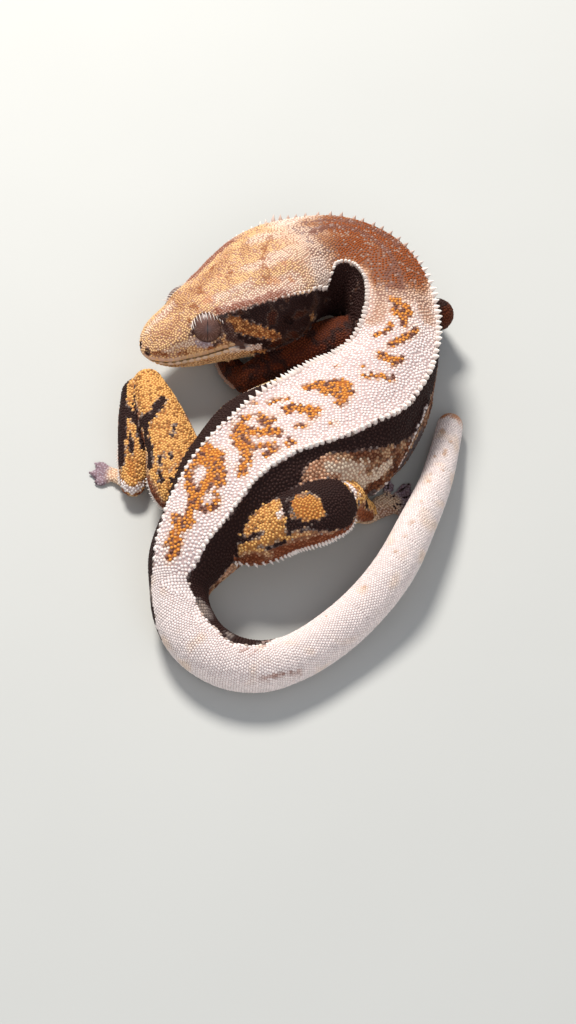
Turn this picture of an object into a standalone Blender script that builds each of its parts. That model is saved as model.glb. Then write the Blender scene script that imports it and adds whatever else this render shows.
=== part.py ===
# A crested gecko at life size, as a still museum model. It lies on the floor with its trunk and
# tail curled into an S and its head turned to its right.
# One line runs from the snout to the tail tip. Everything on the body is placed by its distance
# along that line and by its place on the section there. Sizes are in millimetres until the end.

import math

import bmesh
import bpy
import numpy as np

MILLIMETRE = 0.001
GAP = 0.3                     # clearance between pieces that meet
MOVE_TO_ORIGIN = (1.9, -15.04)   # puts the middle of the whole model's base over the origin

# Head: snout tip, and the way the head points back from it
SNOUT_TIP = (-24.3, 34.0, 8.2)
HEAD_HEADING = 31.0
HEAD_PITCH = -4.0
HEAD_ROLL = -13.0
# Behind the tip, half width on the left and on the right, rise, depth, squareness
HEAD_SECTIONS = (
    (0.0, 3.9, 3.9, 2.6, 2.2, 2.2),
    (3.0, 4.8, 4.8, 3.7, 3.5, 2.2),
    (7.0, 5.8, 5.8, 5.0, 5.5, 2.2),
    (11.0, 7.0, 6.9, 6.4, 6.6, 2.2),
    (15.0, 8.8, 8.2, 6.9, 7.2, 2.3),
    (19.0, 10.7, 9.9, 7.5, 7.4, 2.4),
    (24.0, 11.6, 11.2, 8.4, 7.2, 2.4),
    (28.0, 9.8, 11.0, 8.7, 6.9, 2.4),
)
# Neck, trunk and tail: centre, half width on the left and on the right, rise, depth, roll, squareness
BODY_SECTIONS = (
    (7.4, 51.4, 9.8, 6.2, 8.8, 8.2, 8.0, -8.0, 2.4),
    (13.0, 49.6, 9.7, 6.6, 7.6, 7.8, 9.2, -8.0, 2.4),
    (16.6, 44.6, 9.5, 7.2, 6.9, 7.8, 9.2, -9.0, 2.4),
    (17.8, 38.2, 9.3, 7.4, 6.8, 8.0, 9.3, -9.0, 2.4),
    (17.3, 30.6, 9.2, 7.4, 7.4, 8.4, 9.6, -6.0, 2.4),
    (14.2, 23.0, 9.2, 9.6, 9.2, 8.6, 9.6, 1.0, 2.4),
    (8.0, 16.0, 9.2, 14.0, 11.6, 8.6, 9.6, 9.0, 2.4),
    (-0.5, 10.2, 9.0, 15.8, 12.2, 8.4, 9.4, 12.0, 2.4),
    (-7.8, 4.1, 8.6, 11.5, 10.2, 8.0, 9.0, 10.0, 2.4),
    (-12.8, -3.0, 8.0, 7.6, 7.6, 7.4, 8.2, 5.0, 2.3),
    (-16.1, -9.5, 7.2, 6.0, 5.7, 6.4, 7.4, 2.0, 2.2),
    (-16.9, -14.6, 6.0, 4.6, 4.6, 5.2, 6.3, 0.0, 2.1),
    (-15.6, -19.3, 5.4, 4.6, 4.6, 4.6, 5.7, 0.0, 2.0),
    (-13.1, -22.9, 5.0, 4.4, 4.4, 4.4, 5.3, 0.0, 2.0),
    (-8.9, -25.6, 4.6, 4.2, 4.2, 4.2, 4.9, 0.0, 2.0),
    (-4.0, -26.2, 4.3, 4.0, 4.0, 4.0, 4.6, 0.0, 2.0),
    (1.2, -24.3, 4.0, 3.7, 3.7, 3.7, 4.2, 0.0, 2.0),
    (7.0, -20.0, 4.0, 3.7, 3.7, 3.7, 4.0, 0.0, 2.0),
    (12.2, -14.9, 4.8, 3.6, 3.6, 3.6, 3.7, 0.0, 2.0),
    (16.7, -8.8, 5.9, 3.5, 3.5, 3.5, 3.6, 0.0, 2.0),
    (20.7, 0.4, 5.9, 3.15, 3.15, 3.15, 3.3, 0.0, 2.0),
    (23.8, 9.1, 5.0, 2.75, 2.75, 2.75, 2.9, 0.0, 2.0),
    (26.1, 19.3, 3.2, 2.4, 2.4, 2.3, 2.8, 0.0, 2.0),
    (27.2, 25.4, 2.3, 2.2, 2.2, 1.9, 2.5, 0.0, 2.0),
)
SNOUT_ROUNDING = 4.2
TAIL_ROUNDING = 2.2
LOWER_SQUARENESS = 0.6        # how much of the upper half's squareness the belly keeps
LINE_STEP = 0.25              # distance between the dense points of a line
FRAME_REACH = 0.6             # directions on a line are taken over this far each way

# Crest: distance along the body, and how far from the middle line it runs on each side
CREST = (
    (12.0, 5.4, 5.0), (15.0, 6.6, 5.9), (19.0, 8.2, 7.4), (25.0, 9.8, 8.6), (31.0, 8.0, 8.0),
    (36.0, 5.2, 6.6), (42.0, 4.5, 5.6), (50.0, 5.0, 5.2), (58.0, 5.8, 5.5), (68.0, 7.4, 6.7),
    (76.0, 8.6, 8.0), (85.0, 8.4, 7.7), (95.0, 6.4, 6.2), (103.0, 5.4, 5.3), (109.0, 5.0, 4.5),
    (114.0, 4.4, 3.5), (118.0, 4.0, 2.6),
)
FOLD_RISE = 0.7               # the fold of skin that carries the crest
FOLD_HALF_WIDTH = 1.1
FOLD_START = 11.0
FOLD_FADE_IN = 3.0
FOLD_END = 119.0
FOLD_FADE_OUT = 8.0
CREST_SPACING = 1.9
CREST_FIRST = 12.5            # first spine on the left; the right row starts a little later
CREST_STAGGER = 0.4
CREST_MARGIN = 0.9            # no spine nearer than this to a cut face
# Distance along the body and the length of the spines there
SPINE_LENGTHS = (
    (12.0, 0.45), (25.0, 0.6), (28.0, 0.9), (30.5, 1.8), (33.0, 1.4), (48.0, 1.5), (60.0, 1.2), (90.0, 1.1),
    (118.0, 0.6),
)
SPINE_VARIATION = (0.9, 1.04, 0.95, 1.1, 1.0)
SPINE_HALF_WIDTH = 0.55
SPINE_SLIMMEST = 0.35         # half width that the shortest spines start from, and its growth with length
SPINE_WIDENING = 0.2
SPINE_SUNK = 0.7
SPINE_SIDES = 4
SPINE_BEND_AT = 0.5           # share of the length where a spine bends, and its thickness there
SPINE_TAPER = 0.68
SPINE_BEND = 0.45
SPINE_OUTWARD = 0.75
SPINE_LEAN_BACK = 0.25

# Where the body is parted
BODY_PIECES = (
    ("head", 0.0, 30.0),
    ("neck", 30.0, 42.0),
    ("shoulders", 42.0, 55.0),
    ("torso_front", 55.0, 70.0),
    ("torso_middle", 70.0, 86.0),
    ("torso_rear", 86.0, 102.0),
    ("tail_base", 102.0, 119.0),
    ("tail_1", 119.0, 136.0),
    ("tail_2", 136.0, 153.0),
    ("tail_3", 153.0, 171.0),
    ("tail_4", 171.0, 189.0),
    ("tail_tip", 189.0, 999.0),
)
HEAD_END = 30.0
TAIL_START = 119.0
HEAD_STEP = 1.3
TRUNK_STEP = 2.6
TAIL_STEP = 2.8
FEWEST_STEPS = 4
TRUNK_SIDES = 24
TAIL_SIDES = 18
END_MARGIN = 0.05             # how far the first and last rings stay from the rounded tips
SNOUT_RING = 0.3              # extra rings that round the snout and the tail tip
TAIL_TIP_RINGS = (0.9, 0.3)
CUTTER_RINGS = 110

# Eyes, given in the head: behind the snout tip, out from the middle plane, above the lip line
EYE_PLACE = (10.8, 4.15, 2.45)
EYE_RADIUS = 2.95
EYE_SEGMENTS = 16
EYE_RINGS = 10
RIM_RADIUS = 2.6
RIM_THICKNESS = 0.45
RIM_SEGMENTS = 16
RIM_SIDES = 6
EYE_AIM = (-0.25, 0.80, 0.55)
LASHES = 8
LASH_LENGTH = 1.5
LASH_HALF_WIDTH = 0.3
LASH_SPREAD = 105.0
LASH_MIDDLE = 12.0            # the fan leans this far towards the back of the head
LASH_PLANE = 0.45             # share of the eye's radius that the fan's plane lies in front of its centre
LASH_BEYOND_RIM = 0.25
LASH_FORWARD = 0.55           # how far each lash points away from the head, and bends on the way
LASH_BEND = 0.8
NOSTRIL_PLACE = (1.7, 1.9, 1.5)
NOSTRIL_SIZE = (0.5, 0.5, 1.0)
NOSTRIL_AIM = (-0.5, 1.0, 0.3)
EAR_PLACE = (22.6, 11.3, 1.6)
EAR_SIZE = (1.5, 0.9, 0.8)
EAR_AIM = (0.2, 1.0, 0.1)
MOUTH_END = 16.0
MOUTH_DROP = 1.0              # the lip line lies below the middle of the head, and sags by this in the middle
MOUTH_SAG = 0.45
MOUTH_REACH = 14.0            # half the width of the slit, more than the head's
MOUTH_BEFORE_SNOUT = 1.5
MOUTH_RINGS = 10

# Legs: centre, half width, half height
LEGS = {
    "hind_left_thigh": (
        (-12.0, 1.5, 7.0, 4.0, 3.6), (-17.0, 7.0, 7.3, 5.2, 3.6), (-19.0, 15.5, 7.6, 4.4, 3.4),
        (-21.6, 23.6, 7.0, 3.7, 3.2), (-23.2, 29.0, 6.4, 2.7, 2.6)),
    "hind_left_shank": (
        (-24.9, 27.9, 5.2, 2.9, 2.5), (-24.9, 22.5, 4.8, 3.2, 2.6), (-25.0, 15.5, 3.9, 2.9, 2.2),
        (-25.2, 10.6, 2.9, 2.2, 1.9)),
    "hind_right_thigh": (
        (-9.0, -3.0, 7.5, 4.0, 4.0), (-5.4, -4.4, 8.8, 5.2, 4.6), (-1.0, -2.7, 10.2, 5.8, 4.8),
        (3.2, -1.6, 11.2, 6.1, 4.8), (6.8, -0.3, 11.2, 5.4, 4.4), (9.2, 1.2, 10.6, 3.2, 3.2)),
    "hind_right_shank": (
        (9.4, 1.8, 9.4, 2.8, 2.8), (10.6, 3.2, 6.2, 2.7, 2.6), (12.4, 5.0, 2.9, 2.0, 2.0)),
    "fore_left_upper": (
        (13.0, 37.9, 8.0, 4.3, 3.4), (8.4, 37.8, 7.5, 4.5, 3.3), (0.3, 35.0, 6.0, 3.6, 3.0),
        (-6.4, 32.0, 4.8, 2.4, 2.4)),
    "fore_left_lower": (
        (-7.0, 31.6, 4.2, 2.3, 2.3), (-9.2, 35.0, 3.0, 2.1, 1.8), (-10.8, 38.6, 2.1, 1.6, 1.5)),
    "fore_right_upper": (
        (17.5, 39.5, 8.0, 3.0, 3.0), (21.5, 41.6, 8.2, 3.4, 3.2), (25.2, 43.6, 7.4, 2.9, 2.9)),
    "fore_right_lower": (
        (25.2, 44.6, 6.2, 2.4, 2.4), (23.6, 48.6, 4.0, 2.0, 1.9), (19.6, 52.0, 2.2, 1.6, 1.5)),
}
LEG_STEP = 2.4
LEG_SIDES = 12
# Rounded ends of a leg: distance beyond the end in half widths, share of the size there
LEG_ROUNDING = ((0.25, 0.97), (0.65, 0.75), (0.92, 0.35))

# Feet: heel, middle of the sole, and for each toe its heading and length
FEET = {
    "hind_left_foot": (
        (-25.7, 12.0), (-27.0, 14.0), ((194.0, 4.4), (172.0, 5.2), (150.0, 5.2), (84.0, 6.0), (50.0, 5.0))),
    "hind_right_foot": (
        (12.7, 5.2), (15.8, 7.8), ((-28.0, 4.6), (-2.0, 6.0), (24.0, 6.4), (48.0, 6.0), (82.0, 5.0))),
    "fore_left_foot": (
        (-11.0, 39.0), (-12.2, 41.0), ((45.0, 4.6), (80.0, 5.2), (110.0, 5.6), (142.0, 5.4), (182.0, 4.8))),
    "fore_right_foot": (
        (19.2, 52.3), (17.2, 53.6), ((72.0, 4.6), (100.0, 5.2), (128.0, 5.6), (158.0, 5.4), (196.0, 4.8))),
}
# Share of the way from heel to middle, half width, half height, height of its middle
SOLE_SECTIONS = (
    (-0.45, 0.5, 0.5, 1.9), (-0.30, 1.2, 1.2, 1.75), (0.0, 1.55, 1.5, 1.5), (0.5, 1.75, 1.15, 1.05),
    (1.0, 2.2, 0.95, 0.85), (1.35, 1.8, 0.75, 0.7), (1.6, 0.9, 0.5, 0.55),
)
TOE_START = 0.6               # toes begin this far from the middle of the sole
# Share of the toe's length, half width, half height, height of its middle
TOE_SECTIONS = (
    (0.0, 0.85, 0.80, 0.70), (0.30, 0.62, 0.62, 0.60), (0.52, 0.66, 0.58, 0.52), (0.66, 0.98, 0.56, 0.46),
    (0.80, 0.98, 0.52, 0.42), (0.88, 0.50, 0.42, 0.46), (0.94, 0.30, 0.30, 0.56), (1.0, 0.16, 0.18, 0.42),
)
TOE_SIDES = 6

# Spurs beside the vent: distance along the body, degrees from the top of the section, length, half width
SPUR_AT = 113.4
SPUR_TURN = 96.0
SPUR_SIZE = (1.1, 0.75)
SPUR_LEAN_BACK = 0.9

# Fringe of soft spines on the legs
FRINGE_SPACING = 1.35
FRINGE_LENGTH = 0.75
FRINGE_HALF_WIDTH = 0.42
FRINGE_LOWERED = 20.0         # degrees below the leg's widest line
FRINGE_LEAN = 0.2
# Leg, side of it that the fringe is on, and the share of its length where it starts and ends
FRINGES = (
    ("hind_right_thigh", -1, 0.30, 0.98),
    ("hind_left_thigh", 1, 0.24, 0.42),
    ("hind_left_shank", -1, 0.60, 0.96),
)


# Materials

def make_material(name, colour, roughness):
    material = bpy.data.materials.new(name)
    material.use_nodes = True
    shader = material.node_tree.nodes["Principled BSDF"]
    shader.inputs["Base Color"].default_value = (*colour, 1.0)
    shader.inputs["Roughness"].default_value = roughness
    shader.inputs["Metallic"].default_value = 0.0
    return material


# Curves through stations

def smooth_values(places, values, at):
    """Monotone cubic through values at places, so a width never overshoots its stations."""
    places = np.asarray(places, float)
    values = np.asarray(values, float)
    width = np.diff(places)
    slope = np.diff(values) / width
    tangent = np.zeros(len(places))
    for i in range(1, len(places) - 1):
        if slope[i - 1] * slope[i] > 0:
            near = 2 * width[i] + width[i - 1]
            far = width[i] + 2 * width[i - 1]
            tangent[i] = (near + far) / (near / slope[i - 1] + far / slope[i])
    tangent[0] = slope[0]
    tangent[-1] = slope[-1]
    at = np.clip(np.asarray(at, float), places[0], places[-1])
    k = np.clip(np.searchsorted(places, at, side="right") - 1, 0, len(places) - 2)
    t = (at - places[k]) / width[k]
    start = (1 + 2 * t) * (1 - t) ** 2 * values[k] + t * (1 - t) ** 2 * width[k] * tangent[k]
    return start + t * t * (3 - 2 * t) * values[k + 1] + t * t * (t - 1) * width[k] * tangent[k + 1]


def smooth_line(points):
    """Centripetal curve through points: its dense points, their lengths along it, and the points' lengths."""
    given = np.asarray(points, float)
    padded = np.vstack([2 * given[0] - given[1], given, 2 * given[-1] - given[-2]])
    dense = [padded[1]]
    stations = [0]
    for i in range(1, len(padded) - 2):
        p0, p1, p2, p3 = padded[i - 1:i + 3]
        t0 = 0.0
        t1 = t0 + np.linalg.norm(p1 - p0) ** 0.5
        t2 = t1 + np.linalg.norm(p2 - p1) ** 0.5
        t3 = t2 + np.linalg.norm(p3 - p2) ** 0.5
        count = max(FEWEST_STEPS, int(np.linalg.norm(p2 - p1) / LINE_STEP))
        t = np.linspace(t1, t2, count + 1)[1:, None]
        a1 = ((t1 - t) * p0 + (t - t0) * p1) / (t1 - t0)
        a2 = ((t2 - t) * p1 + (t - t1) * p2) / (t2 - t1)
        a3 = ((t3 - t) * p2 + (t - t2) * p3) / (t3 - t2)
        b1 = ((t2 - t) * a1 + (t - t0) * a2) / (t2 - t0)
        b2 = ((t3 - t) * a2 + (t - t1) * a3) / (t3 - t1)
        dense.extend(((t2 - t) * b1 + (t - t1) * b2) / (t2 - t1))
        stations.append(len(dense) - 1)
    dense = np.array(dense)
    along = np.concatenate([[0.0], np.cumsum(np.linalg.norm(np.diff(dense, axis=0), axis=1))])
    return dense, along, along[stations]


def frames_along(dense, along, at):
    """Centre, direction, right and up on a line at the given lengths; right is the animal's right."""
    centre = np.stack([np.interp(at, along, dense[:, i]) for i in range(3)], 1)
    before = np.stack([np.interp(at - FRAME_REACH, along, dense[:, i]) for i in range(3)], 1)
    after = np.stack([np.interp(at + FRAME_REACH, along, dense[:, i]) for i in range(3)], 1)
    direction = after - before
    direction /= np.linalg.norm(direction, axis=1)[:, None]
    up = np.array([0.0, 0.0, 1.0]) - direction[:, 2:3] * direction
    up /= np.linalg.norm(up, axis=1)[:, None]
    right = np.cross(-direction, up)
    return centre, direction, right, up


class Body:
    """The line from snout to tail tip with its sections."""

    def __init__(self):
        heading = math.radians(HEAD_HEADING)
        pitch = math.radians(HEAD_PITCH)
        back = np.array([
            math.cos(heading) * math.cos(pitch), math.sin(heading) * math.cos(pitch), -math.sin(pitch)])
        head_points = [np.array(SNOUT_TIP) + row[0] * back for row in HEAD_SECTIONS]
        body_points = [np.array(row[:3]) for row in BODY_SECTIONS]
        self.dense, self.along, self.stations = smooth_line(head_points + body_points)
        head_rows = [row[1:5] + (HEAD_ROLL, row[5]) for row in HEAD_SECTIONS]
        body_rows = [row[3:] for row in BODY_SECTIONS]
        self.rows = np.array(head_rows + body_rows)
        self.length = self.along[-1]

    def frame(self, at):
        centre, direction, right, up = frames_along(self.dense, self.along, at)
        roll = np.radians(smooth_values(self.stations, self.rows[:, 4], at))[:, None]
        cosine = np.cos(roll)
        sine = np.sin(roll)
        return centre, direction, right * cosine + up * sine, up * cosine - right * sine

    def sizes(self, at):
        left, right, rise, depth, square = (
            smooth_values(self.stations, self.rows[:, i], at)[:, None] for i in (0, 1, 2, 3, 5))
        snout = 1 - np.clip(at / SNOUT_ROUNDING, 0, 1)
        tip = 1 - np.clip((self.length - at) / TAIL_ROUNDING, 0, 1)
        cap = (np.sqrt(1 - snout ** 2) * np.sqrt(1 - tip ** 2))[:, None]
        return left * cap, right * cap, rise * cap, depth * cap, square

    def crest_offset(self, at, side):
        table = np.array(CREST)
        return smooth_values(table[:, 0], table[:, 2 if side > 0 else 1], at)

    def fold(self, at):
        starting = np.clip((at - FOLD_START) / FOLD_FADE_IN, 0, 1)
        ending = np.clip((FOLD_END - at) / FOLD_FADE_OUT, 0, 1)
        return FOLD_RISE * starting * ending

    def section(self, at, turn, grow=0.0):
        """Offsets to the right and up of the skin; turn runs from the top towards the right side."""
        left, right, rise, depth, square = self.sizes(at)
        cosine = np.cos(turn)
        sine = np.sin(turn)
        upper = cosine >= 0
        power = 2 / np.where(upper, square, 2 + LOWER_SQUARENESS * (square - 2))
        across = np.where(sine >= 0, right, left) * np.sign(sine) * np.abs(sine) ** power
        high = np.where(upper, rise, depth) * np.sign(cosine) * np.abs(cosine) ** power
        crest = np.where(sine >= 0, self.crest_offset(at, 1)[:, None], self.crest_offset(at, -1)[:, None])
        swell = self.fold(at)[:, None] * np.exp(-((np.abs(across) - crest) / FOLD_HALF_WIDTH) ** 2)
        swell = np.where(upper, swell, 0.0) + grow
        size = np.sqrt(across ** 2 + high ** 2) + 1e-9
        return across * (1 + swell / size), high * (1 + swell / size)

    def rings(self, at, sides, grow=0.0):
        at = np.asarray(at, float)
        turn = np.linspace(0, 2 * math.pi, sides, endpoint=False)[None, :]
        centre, direction, right, up = self.frame(at)
        across, high = self.section(at, turn, grow)
        return centre[:, None] + right[:, None] * across[..., None] + up[:, None] * high[..., None]

    def crest_root(self, at, side):
        """Point on the crest, with the directions out of the skin and towards the tail."""
        at = np.array([at])
        centre, direction, right, up = self.frame(at)
        left_size, right_size, rise, depth, square = (float(v[0, 0]) for v in self.sizes(at))
        width = right_size if side > 0 else left_size
        share = min(self.crest_offset(at, side)[0] / width, 0.999)
        turn = side * math.asin(share ** (square / 2))
        across, high = self.section(at, np.array([[turn]]))
        point = centre[0] + right[0] * across[0, 0] + up[0] * high[0, 0]
        outward = side * SPINE_OUTWARD * right[0] + up[0]
        return point, outward / np.linalg.norm(outward), direction[0]

    def side_root(self, at, degrees):
        """Point on the skin at a turn from the top, with the directions outwards and to the tail."""
        at = np.array([at])
        centre, direction, right, up = self.frame(at)
        across, high = self.section(at, np.array([[math.radians(degrees)]]))
        offset = right[0] * across[0, 0] + up[0] * high[0, 0]
        return centre[0] + offset, offset / np.linalg.norm(offset), direction[0]

    def head_point(self, behind, out, above, side):
        """Point given in the head's own axes."""
        centre, direction, right, up = self.frame(np.array([behind]))
        return centre[0] + side * out * right[0] + above * up[0]

    def head_vector(self, back, out, above, side):
        centre, direction, right, up = self.frame(np.array([HEAD_SECTIONS[3][0]]))
        vector = back * direction[0] + side * out * right[0] + above * up[0]
        return vector / np.linalg.norm(vector)


# Meshes

def new_object(name, mesh, material, group):
    mesh.materials.append(material)
    thing = bpy.data.objects.new(name, mesh)
    group.objects.link(thing)
    return thing


def loft(name, rings, material, group, tip=None):
    """Closed skin over rings of equal count, with a fan at each end, the last one to the tip if given.
    No point goes below the floor."""
    rings = np.array(rings, float)
    rings[..., 2] = np.maximum(rings[..., 2], 0.0)
    count, sides = rings.shape[:2]
    points = [tuple(p) for ring in rings for p in ring]
    points.append(tuple(rings[0].mean(axis=0)))
    points.append(tuple(rings[-1].mean(axis=0) if tip is None else tip))
    faces = []
    for i in range(count - 1):
        for j in range(sides):
            here = i * sides + j
            beside = i * sides + (j + 1) % sides
            faces.append((here, beside, beside + sides))
            faces.append((here, beside + sides, here + sides))
    last = (count - 1) * sides
    for j in range(sides):
        following = (j + 1) % sides
        faces.append((count * sides, following, j))
        faces.append((count * sides + 1, last + j, last + following))
    mesh = bpy.data.meshes.new(name)
    mesh.from_pydata(points, [], faces)
    thing = new_object(name, mesh, material, group)
    shell = bmesh.new()
    shell.from_mesh(mesh)
    bmesh.ops.recalc_face_normals(shell, faces=shell.faces)
    shell.to_mesh(mesh)
    shell.free()
    return thing


def ball(name, centre, size, turn_to, material, group, segments=EYE_SEGMENTS, rings=EYE_RINGS):
    """Ellipsoid whose own Z points along turn_to."""
    shell = bmesh.new()
    bmesh.ops.create_uvsphere(shell, u_segments=segments, v_segments=rings, radius=1.0)
    axis_z = np.array(turn_to) / np.linalg.norm(turn_to)
    axis_x = np.cross(axis_z, (0.3, 1.0, 0.2))
    axis_x /= np.linalg.norm(axis_x)
    axis_y = np.cross(axis_z, axis_x)
    for vertex in shell.verts:
        x, y, z = vertex.co
        vertex.co = np.array(centre) + size[0] * x * axis_x + size[1] * y * axis_y + size[2] * z * axis_z
    mesh = bpy.data.meshes.new(name)
    shell.to_mesh(mesh)
    shell.free()
    return new_object(name, mesh, material, group)


def spine(name, root, outward, lean, length, half_width, material, group):
    """A tapered spine that bends towards lean, with its root sunk in the skin."""
    outward = np.asarray(outward)
    lean = np.asarray(lean)
    first = np.cross(outward, lean)
    first /= np.linalg.norm(first)
    second = np.cross(outward, first)
    rings = []
    turn = np.linspace(0, 2 * math.pi, SPINE_SIDES, endpoint=False)[:, None]
    for share, thickness in ((-SPINE_SUNK / length, 1.0), (SPINE_BEND_AT, SPINE_TAPER)):
        middle = root + outward * share * length + lean * SPINE_BEND * length * max(share, 0) ** 2
        rings.append(middle + half_width * thickness * (first * np.cos(turn) + second * np.sin(turn)))
    tip = root + outward * length + lean * SPINE_BEND * length
    return loft(name, rings, material, group, tip)


def bake_modifiers(thing):
    """Turns an object's modifiers into its own mesh."""
    bpy.context.view_layer.update()
    graph = bpy.context.evaluated_depsgraph_get()
    mesh = bpy.data.meshes.new_from_object(thing.evaluated_get(graph))
    thing.modifiers.clear()
    old = thing.data
    thing.data = mesh
    bpy.data.meshes.remove(old)


def remove_objects(things):
    for thing in things:
        mesh = thing.data
        bpy.data.objects.remove(thing, do_unlink=True)
        bpy.data.meshes.remove(mesh)


def combine(thing, others, operation):
    """Joins the others to an object, or cuts them out of it, and removes them."""
    if not others:
        return
    group = bpy.data.collections.new(thing.name + "_" + operation.lower())
    bpy.context.scene.collection.children.link(group)
    for other in others:
        group.objects.link(other)
    boolean = thing.modifiers.new(operation.lower(), "BOOLEAN")
    boolean.operation = operation
    boolean.operand_type = "COLLECTION"
    boolean.collection = group
    boolean.solver = "MANIFOLD"
    bake_modifiers(thing)
    remove_objects(others)
    bpy.data.collections.remove(group)


def keep_largest(thing):
    """Keeps an object's largest closed surface and drops loose scraps."""
    shell = bmesh.new()
    shell.from_mesh(thing.data)
    bmesh.ops.triangulate(shell, faces=shell.faces)
    shell.verts.ensure_lookup_table()
    unseen = set(range(len(shell.verts)))
    bodies = []
    while unseen:
        start = unseen.pop()
        body = {start}
        front = [start]
        while front:
            vertex = shell.verts[front.pop()]
            for edge in vertex.link_edges:
                other = edge.other_vert(vertex).index
                if other in unseen:
                    unseen.discard(other)
                    body.add(other)
                    front.append(other)
        bodies.append(body)
    if len(bodies) > 1:
        keep = max(bodies, key=lambda body: body_volume(shell, body))
        bmesh.ops.delete(shell, geom=[v for v in shell.verts if v.index not in keep], context="VERTS")
    shell.to_mesh(thing.data)
    shell.free()


def body_volume(shell, body):
    total = 0.0
    for face in shell.faces:
        if face.verts[0].index in body:
            a, b, c = (vertex.co for vertex in face.verts)
            total += a.dot(b.cross(c)) / 6
    return abs(total)


# Body pieces

def crest_spines(body, start, end, material, group):
    """Spines of both crests between two cut faces."""
    spines = []
    lengths = np.array(SPINE_LENGTHS)
    count = int((CREST[-1][0] - CREST_FIRST) / CREST_SPACING)
    for side in (-1, 1):
        for i in range(count):
            at = CREST_FIRST + i * CREST_SPACING + (CREST_STAGGER if side > 0 else 0.0)
            if at < start + CREST_MARGIN or at > end - CREST_MARGIN:
                continue
            length = np.interp(at, lengths[:, 0], lengths[:, 1]) * SPINE_VARIATION[i % len(SPINE_VARIATION)]
            root, outward, back = body.crest_root(at, side)
            half_width = min(SPINE_HALF_WIDTH, SPINE_SLIMMEST + SPINE_WIDENING * length)
            spines.append(spine(
                "crest", root, outward, back * SPINE_LEAN_BACK, length, half_width, material, group))
    return spines


def vent_spurs(body, start, end, material, group):
    """Blunt spur on each side of the vent."""
    if not start < SPUR_AT < end:
        return []
    made = []
    for side in (-1, 1):
        root, outward, back = body.side_root(SPUR_AT, side * SPUR_TURN)
        length, half_width = SPUR_SIZE
        made.append(spine("spur", root, outward, back * SPUR_LEAN_BACK, length, half_width, material, group))
    return made


def body_piece(body, name, start, end, material, group):
    if start > 0:
        start = start + GAP / 2
    end = min(end - GAP / 2, body.length - END_MARGIN)
    step = HEAD_STEP if end < HEAD_END else TRUNK_STEP if end < TAIL_START else TAIL_STEP
    at = np.linspace(max(start, END_MARGIN), end, max(FEWEST_STEPS, round((end - start) / step)) + 1)
    if name == "head":
        at = np.concatenate([[END_MARGIN, SNOUT_RING], at[1:]])
    if name == "tail_tip":
        at = np.concatenate([at[:-1], end - np.array(TAIL_TIP_RINGS), [end]])
    sides = TRUNK_SIDES if end < TAIL_START else TAIL_SIDES
    thing = loft(name, body.rings(at, sides), material, group)
    spines = crest_spines(body, start, end, material, group) + vent_spurs(body, start, end, material, group)
    combine(thing, spines, "UNION")
    return thing


def eye_rim(body, side, material, group):
    """Ring of skin that frames the eye."""
    centre = body.head_point(*EYE_PLACE, side)
    aim = body.head_vector(*EYE_AIM, side)
    middle = centre + aim * math.sqrt(EYE_RADIUS ** 2 - RIM_RADIUS ** 2)
    bpy.ops.mesh.primitive_torus_add(
        major_segments=RIM_SEGMENTS, minor_segments=RIM_SIDES,
        major_radius=RIM_RADIUS, minor_radius=RIM_THICKNESS)
    thing = bpy.context.object
    axis_x = np.cross(aim, (0.0, 0.0, 1.0))
    axis_x /= np.linalg.norm(axis_x)
    axis_y = np.cross(aim, axis_x)
    for vertex in thing.data.vertices:
        x, y, z = vertex.co
        vertex.co = middle + x * axis_x + y * axis_y + z * aim
    thing.name = "rim"
    thing.data.materials.append(material)
    for owner in list(thing.users_collection):
        owner.objects.unlink(thing)
    group.objects.link(thing)
    return thing


def lashes(body, side, material, group):
    """Soft spines over the eye, fanned along the upper edge of its rim."""
    centre = body.head_point(*EYE_PLACE, side)
    aim = body.head_vector(*EYE_AIM, side)
    back = body.head_vector(1, 0, 0, side)
    up = body.head_vector(0, 0, 1, side)
    up = up - aim * np.dot(up, aim)
    up /= np.linalg.norm(up)
    back = back - aim * np.dot(back, aim) - up * np.dot(back, up)
    back /= np.linalg.norm(back)
    made = []
    for i in range(LASHES):
        turn = math.radians(LASH_MIDDLE + LASH_SPREAD * (i / (LASHES - 1) - 0.5))
        spoke = up * math.cos(turn) + back * math.sin(turn)
        root = centre + aim * (EYE_RADIUS * LASH_PLANE) + spoke * (RIM_RADIUS + LASH_BEYOND_RIM)
        outward = spoke + aim * LASH_FORWARD
        outward /= np.linalg.norm(outward)
        made.append(spine(
            "lash", root, outward, aim * LASH_BEND, LASH_LENGTH, LASH_HALF_WIDTH, material, group))
    return made


def mouth_slit(body, material, group):
    """Thin curved slit that parts the lips, from the snout to the corner of the mouth."""
    rings = []
    half = GAP / 2
    for behind in np.linspace(-MOUTH_BEFORE_SNOUT, MOUTH_END, MOUTH_RINGS):
        drop = MOUTH_DROP + MOUTH_SAG * math.sin(math.pi * max(behind, 0) / MOUTH_END)
        ring = []
        for across, above in (
                (-MOUTH_REACH, half), (MOUTH_REACH, half), (MOUTH_REACH, -half), (-MOUTH_REACH, -half)):
            centre = body.head_point(0.0, across, above - drop, 1)
            ring.append(centre + behind * body.head_vector(1, 0, 0, 1))
        rings.append(ring)
    return loft("slit", rings, material, group)


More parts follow.
